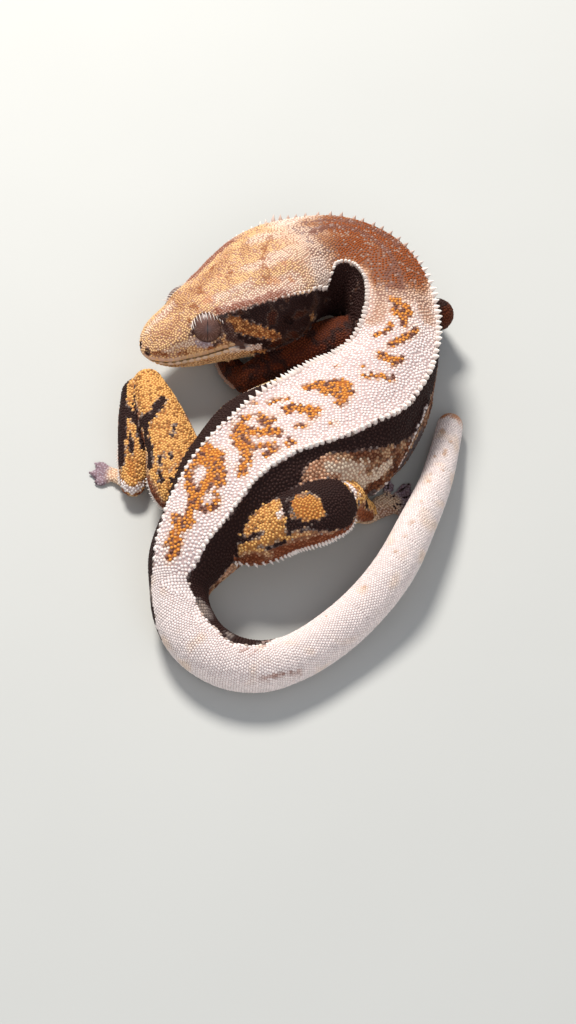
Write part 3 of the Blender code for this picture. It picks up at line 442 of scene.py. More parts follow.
def leg_surface(rows, turn, grow=0.0, step=LEG_STEP):
    """Rings along a leg, rounded at both ends, with their lengths and directions."""
    rows = np.array(rows)
    dense, along, stations = smooth_line(rows[:, :3])
    length = along[-1]
    at = np.linspace(0, length, max(4, round(length / step)) + 1)
    beyond, size_there = np.array(LEG_ROUNDING).T
    places = np.concatenate([-beyond[::-1] * rows[0, 3], at, length + beyond * rows[-1, 3]])
    shrink = np.concatenate([size_there[::-1], np.ones(len(at)), size_there])
    inner = np.clip(places, 0, length)
    direction, right, up = frames_along(dense, along, np.clip(inner, FRAME_REACH, length - FRAME_REACH))
    centre = line_points(dense, along, inner) + direction * (places - inner)[:, None]
    wide = smooth_values(stations, rows[:, 3], inner) * shrink + grow
    high = smooth_values(stations, rows[:, 4], inner) * shrink + grow
    across = np.sin(turn)[None, :, None] * wide[:, None, None] * right[:, None]
    above = np.cos(turn)[None, :, None] * high[:, None, None] * up[:, None]
    return centre[:, None] + across + above, places, direction


def flat_tube(start, reach, sections, turn, grow=0.0):
    """Rings of a sole or toe, which lies along a horizontal reach from its start."""
    share = np.linspace(sections[0, 0], sections[-1, 0], FOOT_RINGS)
    wide, high, middle = (
        smooth_values(sections[:, 0], sections[:, i], share) + grow * (i < 3) for i in (1, 2, 3))
    beside = np.array([-reach[1], reach[0], 0.0]) / np.linalg.norm(reach)
    upright = np.array([0.0, 0.0, 1.0])
    centre = start + reach * share[:, None] + upright * middle[:, None]
    across = beside * (np.sin(turn)[None, :, None] * wide[:, None, None])
    above = upright * (np.cos(turn)[None, :, None] * high[:, None, None])
    return centre[:, None] + across + above


def tube_faces(rings, sides, first=0):
    """Faces between rings of points, with a fan at each end, whose middles follow the rings."""
    i, j = np.meshgrid(np.arange(rings - 1), np.arange(sides), indexing="ij")
    here = (i * sides + j).ravel()
    beside = (i * sides + (j + 1) % sides).ravel()
    quads = np.stack([here, beside, beside + sides, here + sides], 1)
    faces = np.vstack([quads[:, [0, 1, 2]], quads[:, [0, 2, 3]]])
    ring = np.arange(sides)
    after = (ring + 1) % sides
    last = (rings - 1) * sides
    middle = np.full(sides, rings * sides)
    faces = np.vstack([
        faces, np.stack([middle, after, ring], 1), np.stack([middle + 1, last + ring, last + after], 1)])
    return faces + first


def new_mesh(name, points, triangles):
    """A mesh from points and triangles."""
    mesh = bpy.data.meshes.new(name)
    mesh.vertices.add(len(points))
    mesh.vertices.foreach_set("co", np.asarray(points, np.float32).ravel())
    mesh.loops.add(3 * len(triangles))
    mesh.loops.foreach_set("vertex_index", np.asarray(triangles, np.int32).ravel())
    mesh.polygons.add(len(triangles))
    mesh.polygons.foreach_set("loop_start", np.arange(0, 3 * len(triangles), 3, dtype=np.int32))
    mesh.update(calc_edges=True)
    return mesh


def closed_tubes(tubes):
    """Points and triangles of closed tubes put together."""
    points = []
    faces = []
    first = 0
    for rings in tubes:
        count, sides = rings.shape[:2]
        points.append(np.vstack([rings.reshape(-1, 3), rings[0].mean(0), rings[-1].mean(0)]))
        faces.append(tube_faces(count, sides, first))
        first += len(points[-1])
    return np.vstack(points), np.vstack(faces)


def toe_heading(degrees):
    """A level direction of length 1."""
    return np.array([math.cos(math.radians(degrees)), math.sin(math.radians(degrees)), 0.0])


def keep_tube(part, rings, at, turn):
    """Adds a tube to the skin and remembers the part, length and turn of each of its points."""
    tubes.append(rings)
    known_places.append(rings.reshape(-1, 3))
    facts = np.broadcast_arrays(PARTS.index(part), at[:, None], turn[None, :])
    known_facts.append(np.stack(facts, 2).reshape(-1, 3))


body_turn, leg_turn, foot_turn = (
    np.linspace(0, 2 * math.pi, sides, endpoint=False) for sides in (BODY_SIDES, LEG_SIDES, FOOT_SIDES))
body_at = np.concatenate([
    [0.02, 0.1, 0.25, 0.5], np.arange(0.9, BODY_LENGTH - 1.2, BODY_STEP),
    BODY_LENGTH - np.array([0.9, 0.5, 0.25, 0.1, 0.02])])
PARTS = ["body", *LEGS, *FEET]
tubes = []
known_places = []
known_facts = []
keep_tube("body", body_surface(body_at, body_turn[None, :], -SCALE_DEPTH)[0], body_at, body_turn)
for part, rows in LEGS.items():
    rings, at, direction = leg_surface(rows, leg_turn, -SCALE_DEPTH)
    keep_tube(part, rings, at, leg_turn)
for part, (heel, middle, toes) in FEET.items():
    heel = np.array([*heel, 0.0])
    middle = np.array([*middle, 0.0])
    sole = flat_tube(heel, middle - heel, SOLE_SECTIONS, foot_turn, -FOOT_SINK)
    keep_tube(part, sole, np.zeros(FOOT_RINGS), foot_turn)
    for heading, length in toes:
        reach = toe_heading(heading)
        toe = flat_tube(middle + reach * TOE_START, reach * length, TOE_SECTIONS, foot_turn, -FOOT_SINK)
        keep_tube(part, toe, np.linspace(0.0, length, FOOT_RINGS), foot_turn)
known_places = np.vstack(known_places)
known_facts = np.vstack(known_facts)

# Head places are given behind the snout tip, out from the middle plane and above the lip line
EYE_PLACE = (10.8, 4.15, 2.45)
EYE_RADIUS = 2.95
EYE_AIM = (-0.25, 0.80, 0.55)
EYE_CLEARANCE = 0.05
RIM_RADIUS = 2.62
RIM_THICKNESS = 0.48
NOSTRIL_PLACE = (0.5, 1.3, 0.95)
NOSTRIL_SIZE = (0.50, 0.42, 0.9)
NOSTRIL_AIM = (-0.8, 0.9, 0.4)
EAR_PLACE = (22.6, 11.1, 1.6)
EAR_SIZE = (1.25, 0.7, 0.9)
EAR_AIM = (0.2, 1.0, 0.1)
# Mouth: behind the snout tip, and how far the line lies below the head's middle
MOUTH_LINE = np.array(
    ((0.0, 0.55), (1.6, 0.7), (4.3, 1.0), (8.6, 1.4), (11.8, 1.2), (13.4, 1.0), (16.0, 1.7)))
MOUTH_OPENING = 0.10
MOUTH_DEPTH = 0.8
MOUTH_BEYOND = 1.5
MOUTH_OVERLAP = 0.2
MOUTH_BEFORE = 1.2
MOUTH_RINGS = 40


def head_point(behind, out, above, side):
    """A place on the head, on the animal's left (-1) or right (1)."""
    centre, direction, right, up = body_frame(np.atleast_1d(np.asarray(behind, float)))
    return (centre + side * out * right + above * up)[0]


def head_vector(back, out, above, side):
    """A direction of length 1 on the head, in the same way."""
    centre, direction, right, up = body_frame(np.array([HEAD_SECTIONS[3][0]]))
    vector = back * direction[0] + side * out * right[0] + above * up[0]
    return vector / np.linalg.norm(vector)


def axes_for(aim):
    """Two directions across an aim."""
    first = np.cross(aim, (0.3, 1.0, 0.2))
    first /= np.linalg.norm(first)
    return first, np.cross(aim, first)


def ball_rings(centre, size, aim, sides=32, count=20):
    """Rings of an ellipsoid whose own axis points along aim."""
    first, second = axes_for(aim)
    down = np.linspace(0.04, math.pi - 0.04, count)[:, None, None]
    turn = np.linspace(0, 2 * math.pi, sides, endpoint=False)[None, :, None]
    return (centre + size[2] * np.cos(down) * aim
            + np.sin(down) * (size[0] * np.cos(turn) * first + size[1] * np.sin(turn) * second))


def ring_tube(centre, aim, radius, thickness, around=48, sides=14):
    """Points and triangles of a ring of round section about an aim."""
    first, second = axes_for(aim)
    turn = np.linspace(0, 2 * math.pi, around, endpoint=False)[:, None, None]
    roll = np.linspace(0, 2 * math.pi, sides, endpoint=False)[None, :, None]
    spoke = first * np.cos(turn) + second * np.sin(turn)
    places = centre + spoke * (radius + thickness * np.cos(roll)) + aim * thickness * np.sin(roll)
    i, j = np.meshgrid(np.arange(around), np.arange(sides), indexing="ij")
    here = (i * sides + j).ravel()
    beside = (i * sides + (j + 1) % sides).ravel()
    ahead = ((i + 1) % around * sides + j).ravel()
    across = ((i + 1) % around * sides + (j + 1) % sides).ravel()
    faces = np.vstack([np.stack([here, ahead, across], 1), np.stack([here, across, beside], 1)])
    return places.reshape(-1, 3), faces


def solid_object(name, points, faces):
    thing = bpy.data.objects.new(name, new_mesh(name, points, faces))
    bpy.context.scene.collection.objects.link(thing)
    return thing


def bake_modifiers(thing):
    """Puts the result of an object's modifiers in place of its mesh."""
    graph = bpy.context.evaluated_depsgraph_get()
    mesh = bpy.data.meshes.new_from_object(thing.evaluated_get(graph))
    thing.modifiers.clear()
    old = thing.data
    thing.data = mesh
    bpy.data.meshes.remove(old)


def vertex_vectors(mesh, kind):
    """The places or normals of a mesh's vertices."""
    values = np.empty(len(mesh.vertices) * 3, np.float32)
    mesh.vertices.foreach_get(kind, values)
    return values.reshape(-1, 3).astype(float)


def tree_of(places):
    """A tree that finds the nearest of the places."""
    tree = KDTree(len(places))
    for k, place in enumerate(places):
        tree.insert(place, k)
    tree.balance()
    return tree


skin_points, skin_faces = closed_tubes(tubes)
eyes_at = {}
for side, word in ((-1, "left"), (1, "right")):
    centre = head_point(*EYE_PLACE, side)
    aim = head_vector(*EYE_AIM, side)
    eyes_at[word] = (centre, aim, side)
    rim_middle = centre + aim * math.sqrt(EYE_RADIUS ** 2 - RIM_RADIUS ** 2)
    points, faces = ring_tube(rim_middle, aim, RIM_RADIUS, RIM_THICKNESS)
    skin_faces = np.vstack([skin_faces, faces + len(skin_points)])
    skin_points = np.vstack([skin_points, points])
skin_points[:, 2] = np.maximum(skin_points[:, 2], LOWEST_SKIN)
skin = solid_object("skin", skin_points, skin_faces)
remesh = skin.modifiers.new("one_surface", "REMESH")
remesh.mode = "VOXEL"
remesh.voxel_size = VOXEL
soften = skin.modifiers.new("soften", "SMOOTH")
soften.factor = 0.5
soften.iterations = 3
bake_modifiers(skin)

# Openings in the skin: eye sockets, nostrils, ears and the line between the lips
cut_tubes = []
for word, (centre, aim, side) in eyes_at.items():
    socket = EYE_RADIUS + EYE_CLEARANCE
    cut_tubes.append(ball_rings(centre, (socket, socket, socket), aim, 48, 30))
    nostril_aim = head_vector(*NOSTRIL_AIM, side)
    cut_tubes.append(ball_rings(head_point(*NOSTRIL_PLACE, side), NOSTRIL_SIZE, nostril_aim))
    ear_aim = head_vector(*EAR_AIM, side)
    cut_tubes.append(ball_rings(head_point(*EAR_PLACE, side), EAR_SIZE, ear_aim))
mouth_behind = np.linspace(0.0, MOUTH_LINE[-1, 0], MOUTH_RINGS)
mouth_drop = smooth_values(MOUTH_LINE[:, 0], MOUTH_LINE[:, 1], mouth_behind)


def lip_outline(behind, drop, side):
    """Point on the head's surface at the mouth line."""
    left, right_size, rise, depth, square = (v[0] for v in body_sizes(np.array([max(behind, 0.05)])))
    width = right_size if side > 0 else left
    power = 2 + LOWER_SQUARENESS * (square - 2)
    share = min(drop / depth, 0.98)
    return (1 - share ** power) ** (1 / power) * width


for side in (-1, 1):
    rings = []
    for behind, drop in zip(mouth_behind, mouth_drop):
        out = lip_outline(behind, drop, side)
        depth = MOUTH_DEPTH * min(1.0, (MOUTH_LINE[-1, 0] - behind) / 2 + 0.25)
        outer = out + MOUTH_BEYOND
        inner = max(out - depth, -MOUTH_OVERLAP)
        rings.append([
            head_point(behind, reach, above * MOUTH_OPENING - drop, side)
            for reach, above in ((outer, 1), (outer, -1), (inner, -1), (inner, 1))])
    front = np.array(rings[0]) - head_back * MOUTH_BEFORE
    cut_tubes.append(np.array([front] + rings))
cutters = []
for k, rings in enumerate(cut_tubes):
    points, faces = closed_tubes([rings])
    cutter = solid_object("opening_%d" % k, points, faces)
    volume = np.einsum(
        "ij,ij->i", points[faces[:, 0]], np.cross(points[faces[:, 1]], points[faces[:, 2]])).sum()
    if volume < 0:
        cutter.data.flip_normals()
    cutters.append(cutter)
openings = bpy.data.collections.new("openings")
bpy.context.scene.collection.children.link(openings)
for cutter in cutters:
    openings.objects.link(cutter)
cut = skin.modifiers.new("openings", "BOOLEAN")
cut.operation = "DIFFERENCE"
cut.operand_type = "COLLECTION"
cut.collection = openings
cut.solver = "MANIFOLD"
bake_modifiers(skin)
for cutter in cutters:
    bpy.data.objects.remove(cutter, do_unlink=True)
bpy.data.collections.remove(openings)
skin.data.shade_smooth()
skin_vertices = vertex_vectors(skin.data, "co")
skin_normals = vertex_vectors(skin.data, "normal")
surface = BVHTree.FromPolygons(
    [tuple(v) for v in skin_vertices], [tuple(p.vertices) for p in skin.data.polygons])
finder = tree_of(known_places)


def where_on_animal(places):
    """Part, length along it and turn from its top for points on the skin."""
    nearest = [finder.find(place)[1] for place in places]
    facts = known_facts[nearest]
    turn = (facts[:, 2] + math.pi) % (2 * math.pi) - math.pi
    return facts[:, 0].astype(int), facts[:, 1], turn


# Markings: cream back between two crests with amber blotches, black-brown bands below the crests,
# rust nape, tan head, golden legs. One function paints the skin and the scales alike: it lays one
# colour over another, by places along and across the body in millimetres.
MARKS = ("tan", "rust", "gold", "olive", "amber", "brown", "dark", "lilac", "white")
# Edge of the pale back: along, to the left, to the right. It follows the crest, then the tail.
PALE_EDGE = np.vstack([CREST, (
    (120.0, 4.2, 1.4), (124.5, 4.4, 1.7), (127.0, 9.0, 1.8), (132.0, 9.0, 1.5), (136.0, 9.0, 0.7),
    (139.0, 9.0, 0.9), (144.0, 9.0, 2.6), (148.0, 9.0, 9.0))])
# Dark band below that edge: along, width on the left, width on the right
BAND = np.array((
    (11.0, 9.0, 9.0), (28.0, 9.0, 9.0), (40.0, 12.0, 6.0), (56.0, 12.0, 4.5), (63.0, 4.0, 3.6),
    (67.0, 1.9, 4.6), (73.0, 1.7, 6.2), (77.0, 1.7, 6.4), (81.0, 1.9, 4.8), (84.0, 2.4, 3.4),
    (88.0, 6.0, 2.6), (91.0, 9.0, 3.2), (95.0, 9.0, 5.5), (101.0, 9.0, 7.0), (110.0, 7.0, 8.0),
    (119.0, 5.0, 7.0), (135.0, 4.0, 6.0), (150.0, 3.0, 3.0)))
# Blotches on the back: half width, then the places along and across that the stroke passes
BLOTCHES = (
    (0.80, (55.3, -1.8), (56.6, 0.4)), (0.85, (57.6, -1.5), (58.8, 0.0), (57.9, 0.8)),
    (0.6, (58.8, 0.0), (60.9, 0.5)), (0.55, (61.1, -2.0), (62.3, -1.8), (63.3, -2.8), (63.7, -3.6)),
    (0.60, (61.1, 2.3), (62.1, 2.0), (63.6, 1.1), (64.3, 0.4), (65.2, -0.1), (65.9, -0.6)),
    (0.65, (68.2, -1.0), (68.4, 0.1), (68.6, 1.3), (67.8, 2.4)), (0.55, (68.6, 1.3), (69.2, 2.1)),
    (0.30, (72.3, -1.5)), (0.35, (74.3, -5.2)), (0.30, (90.8, -6.7)), (0.40, (83.8, 5.3)),
    (0.80, (91.6, 4.6)), (0.48, (73.8, -0.1), (72.6, 1.5), (72.1, 2.6), (71.6, 3.6)),
    (0.95, (82.2, -4.5), (79.8, -4.0), (80.4, -2.0), (78.4, -1.4)),
    (1.15, (78.0, -2.0), (77.6, -0.6), (78.4, 1.2)), (0.90, (78.4, 0.6), (80.6, 2.3)),
    (0.65, (80.8, -1.2), (79.4, 0.4)), (0.90, (87.8, -1.7), (86.4, -1.6), (86.0, 0.0), (84.3, 1.4)),
    (0.70, (85.0, 1.6), (85.8, 2.5)), (0.50, (88.6, -5.4), (87.6, -5.3), (86.6, -4.2)),
    (1.10, (95.0, -4.3), (96.4, -2.6), (97.2, 0.0)),
    (0.90, (97.2, 0.0), (98.2, 2.1), (99.9, 2.6), (100.9, 3.2)), (0.60, (93.6, -5.2), (92.6, -4.8)),
    (0.65, (91.3, -3.7), (92.1, -1.9), (90.6, -1.7)),
    (0.95, (95.3, -3.6), (94.2, -1.0), (92.7, 0.2), (91.8, 1.8)),
    (0.65, (97.1, 0.7), (95.8, 1.7), (94.3, 2.8), (94.3, 4.3), (95.8, 3.9)),
    (0.35, (87.6, 3.4), (88.6, 2.6)),
    (1.00, (100.8, -5.1), (100.7, -3.8), (100.4, -2.3), (102.1, -0.5), (104.2, 1.0)),
    (1.00, (102.3, -4.6), (101.9, -2.8), (103.3, -1.0), (105.4, -0.9), (107.8, -1.1), (109.3, -0.7)),
    (0.65, (104.6, -4.8), (106.8, -3.4), (107.7, -2.1), (109.8, -1.3), (111.1, -0.7)),
    (0.55, (106.3, 1.3), (107.3, 2.3), (108.3, 2.5), (109.6, 0.8)),
    (0.70, (111.1, -0.7), (112.5, -1.4), (112.1, -0.1), (113.6, -0.4)),
    (0.55, (112.3, -2.9), (113.0, -1.6)),
    (0.70, (113.6, -0.4), (114.4, -2.0), (115.3, -0.7), (115.9, -2.0), (116.6, -0.6), (117.7, -1.4)),
)
# Nape and top of the head, given in the same way
NAPE = (
    (3.6, (32.5, 2.2), (37.0, 3.4), (42.0, 3.4), (48.0, 2.6), (52.0, 0.6)),
    (3.0, (31.5, -2.4), (36.3, -2.8), (41.0, -1.8), (46.0, -1.4), (51.0, -1.6)),
    (1.4, (52.0, -3.2), (57.0, -3.9), (60.0, -4.2)), (1.3, (52.0, 3.6), (58.0, 3.9)),
)
NAPE_STREAKS = (
    (0.75, (33.1, 0.6), (36.1, 2.3), (38.6, 2.7), (41.6, 1.8), (45.1, 1.3), (48.6, 0.4), (52.1, 0.0)),
    (0.60, (34.0, 4.6), (38.0, 5.0), (44.0, 4.4)), (0.65, (47.0, 0.6), (49.6, -2.0)),
    (0.5, (52.0, -2.4), (51.0, -1.0)),
)
# Pale patches on the head; the stroke along the top of the snout is a painted highlight
HEAD_PALE_AND_HIGHLIGHT = (
    (1.7, (14.6, -6.0), (18.6, -7.0), (22.5, -8.2), (26.5, -8.4)),
    (1.3, (13.8, -3.2), (16.5, -4.0), (19.5, -4.6)), (1.2, (21.0, -1.4), (24.5, -3.4)),
    (1.6, (26.0, -2.8), (29.0, -3.6)), (1.0, (2.6, 1.6), (7.0, 2.2)), (1.5, (26.0, 4.0), (29.0, 2.0)),
)
HEAD_BROWN = (
    (1.6, (9.6, 0.4), (13.0, 1.6), (17.0, 3.0), (20.0, 4.4)), (1.2, (4.0, -2.4), (7.0, -1.8)),
    (1.3, (23.0, 2.6), (25.0, 4.4)),
)
HEAD_LINES = (
    (0.60, (27.1, 2.1), (25.6, 0.0), (23.6, -2.7), (22.8, -5.2), (22.7, -6.8)),
    (0.50, (13.3, 1.5), (12.4, 0.2), (13.2, -1.5)), (0.45, (19.1, 1.9), (20.2, 0.6)),
    (0.45, (17.5, -1.6), (18.6, -0.2)), (0.45, (16.0, 3.4), (17.6, 4.4)),
    (0.55, (10.0, -1.6), (10.7, -2.6)), (0.45, (7.6, -3.6), (8.4, -4.4)),
)
HEAD_SPOTS = (
    (0.85, (22.8, -6.9), (23.4, -7.4)), (0.60, (25.9, -8.0)), (0.60, (28.4, -5.9)), (0.55, (26.5, -5.0)),
    (0.75, (12.4, -2.6), (13.2, -2.8)), (0.60, (20.2, 4.4)), (0.5, (16.8, 0.8)),
    (0.7, (28.6, 0.4), (29.4, 1.6)),
)
# Cheek, by length along and degrees from the top: half width in millimetres first
CHEEK_ORANGE = (
    (1.7, (14.0, 62.0), (15.4, 72.0)), (1.5, (15.4, 72.0), (17.0, 80.0)), (1.0, (17.0, 80.0), (19.6, 92.0)),
    (0.8, (15.8, 116.0), (17.6, 114.0)), (0.9, (27.5, 96.0), (28.6, 110.0)),
    (0.6, (25.2, 116.0), (24.0, 122.0)),
)
CHEEK_TAN = ((1.5, (11.4, 92.0), (13.0, 88.0)), (0.9, (12.8, 98.0), (14.4, 98.0)))
CHEEK_PALE = ((0.9, (13.2, 103.0), (15.0, 102.0), (16.6, 104.0)),)
UNDER_EYE = ((0.9, (7.4, 70.0), (8.6, 79.0), (9.6, 84.0)),)
# Dark patch behind the eye, running down towards the mouth corner; the short stroke under the eye is
# painted shade below the lower lid
EYE_PATCH_AND_SHADE = (
    (0.9, (12.9, 56.0), (13.3, 70.0)), (0.8, (12.6, 76.0), (13.8, 90.0), (14.6, 98.0)),
    (0.6, (10.6, 86.0), (11.6, 82.0)), (0.6, (7.7, 46.0), (8.0, 54.0)))
SNOUT_PALE = ((0.8, (2.6, 66.0), (5.0, 66.0), (7.4, 70.0)),)
SNOUT_SPOTS = (
    (0.5, (5.2, 84.0), (5.8, 90.0)), (0.5, (9.6, 92.0), (10.0, 98.0)), (0.6, (1.4, 60.0), (2.6, 76.0)))
# Flank on the right, by length along and degrees from the top
FLANK_CREAM = (
    (1.3, (88.4, 60.0), (86.0, 66.0), (83.4, 76.0)), (1.5, (86.0, 78.0), (84.0, 92.0)),
    (1.2, (82.0, 92.0), (80.0, 90.0)))
FLANK_DARK = (
    (1.6, (83.0, 124.0), (78.8, 118.0), (76.0, 110.0), (72.0, 104.0)), (1.0, (90.0, 74.0), (93.0, 84.0)))
FLANK_FOLD_EDGE = (0.3, (69.3, 74.0), (73.0, 82.0), (76.8, 96.0), (79.6, 110.0), (82.0, 122.0))
# Tail, given as on the back
TAIL_SMUDGES = (
    (0.24, (139.3, -0.8), (140.1, 0.0), (141.3, 1.2)), (0.16, (141.3, 2.2), (143.1, 2.8)),
    (0.16, (140.8, -3.6), (142.8, -3.4), (145.6, -3.5)), (0.15, (137.6, -0.4), (139.0, 0.6)),
)
TAIL_FRECKLES = (
    (0.35, (199.3, 1.2), (198.4, 0.7)), (0.30, (192.1, 1.2)), (0.32, (193.8, -0.5), (192.6, -0.4)),
    (0.25, (185.6, 0.6)), (0.25, (187.4, 0.9)), (0.28, (180.8, 0.4)), (0.25, (176.3, 0.1), (175.6, 0.5)),
    (0.25, (173.1, 0.2)), (0.3, (169.8, 0.4)), (0.3, (196.4, -1.0)), (0.25, (189.0, -0.9)),
    (0.3, (162.0, 0.8)), (0.3, (154.0, 1.6)),
)
# Patches on the legs, by length along and degrees from the top
LEG_DARK = {
    "hind_right_thigh": (
        (0.8, (10.2, 26.0), (10.5, 10.0), (10.7, -14.0), (10.5, -38.0), (9.6, -54.0)),
        (2.5, (17.6, 44.0), (16.9, 10.0), (17.3, -20.0), (17.8, -58.0)),
        (1.3, (11.0, 14.0), (13.6, 14.0), (15.6, 20.0)), (0.8, (10.6, -46.0), (13.4, -50.0), (16.0, -54.0)),
        (1.4, (14.6, -58.0), (17.0, -68.0)), (0.45, (3.4, -46.0), (5.2, -30.0)),
        (0.4, (2.6, -20.0), (4.6, -8.0)), (0.4, (5.0, -60.0), (8.0, -66.0))),
    "hind_left_thigh": (
        (1.0, (22.9, -14.0), (21.5, 10.0), (20.2, 34.0), (21.0, 60.0), (21.2, 99.0)),
        (1.1, (20.6, 50.0), (16.8, 74.0), (13.3, 60.0), (11.0, 62.0)), (0.35, (17.0, -12.0), (14.6, 0.0)),
        (0.4, (11.6, 30.0), (7.9, 44.0)), (0.4, (11.2, 8.0), (8.4, 14.0)), (0.4, (9.0, -10.0), (6.4, 0.0)),
        (0.4, (7.0, 24.0), (3.0, 34.0)), (1.7, (29.0, 84.0), (24.0, 96.0))),
    "hind_left_shank": (
        (2.2, (-2.0, -66.0), (1.4, -62.0), (7.1, -56.0), (11.2, -60.0), (13.2, -60.0)),
        (1.0, (5.0, -34.0), (7.3, 12.0), (8.8, 14.0), (11.4, 32.0)), (0.5, (9.4, -16.0), (12.8, -10.0))),
    "hind_right_shank": ((1.2, (0.0, -30.0), (2.4, -60.0)),),
    "hind_right_foot": ((1.2, (2.0, 0.0), (6.0, 0.0)),),
}
LEG_ORANGE = {
    "hind_right_thigh": ((1.5, (12.9, -17.0), (13.6, -30.0)),),
    "hind_left_shank": ((1.1, (15.2, -10.0), (16.4, -10.0)),),
}
LEG_PALE = {
    "hind_right_thigh": (
        (0.6, (9.4, -20.0)), (0.5, (19.9, 40.0), (20.4, 0.0), (20.6, -44.0)),
        (0.7, (15.2, 66.0), (17.6, 58.0))),
    "hind_left_shank": ((0.9, (18.0, 64.0), (19.2, 24.0), (19.4, -24.0), (18.2, -66.0)),),
}
FLANK_ARC = 0.1745            # millimetres round the flank to one degree
FRONT_LEGS = [PARTS.index(name) for name in LEGS if name.startswith("fore")]
NOSTRIL_BARE = 0.58
# Painted shade in and around each nostril opening, by distance from its middle
NOSTRIL_SHADE = (0.72, 0.55)    # no darkening beyond the first distance, all within the second
nostrils = [head_point(*NOSTRIL_PLACE, side) for side in (-1, 1)]


def mottle(places, size, seed):
    """Smooth noise at points, from about -1 to 1."""
    shift = Vector((seed * 7.3, seed * 3.1, seed * 5.7))
    return np.array([noise.noise(Vector(p) / size + shift) for p in places]) * 1.6


def step(value, low, high):
    """0 where the value is low, 1 where it is high, smooth in between."""
    share = np.clip((value - low) / (high - low), 0, 1)
    return share * share * (3 - 2 * share)


def inside(at, across, strokes):
    """How far inside any of the strokes a point lies, in millimetres, below 0 outside them."""
    depth = np.full(np.shape(at), -9.0)
    for half_width, *points in strokes:
        depth = np.maximum(depth, half_width - past_line(at, across, points))
    return depth


def inside_turned(at, degrees, radius, strokes):
    """As inside, for strokes given by degrees from the top, on a surface of about this radius."""
    arc = radius * math.pi / 180
    return inside(at, degrees * arc, [
        (half_width, *((a, d * arc) for a, d in points)) for half_width, *points in strokes])


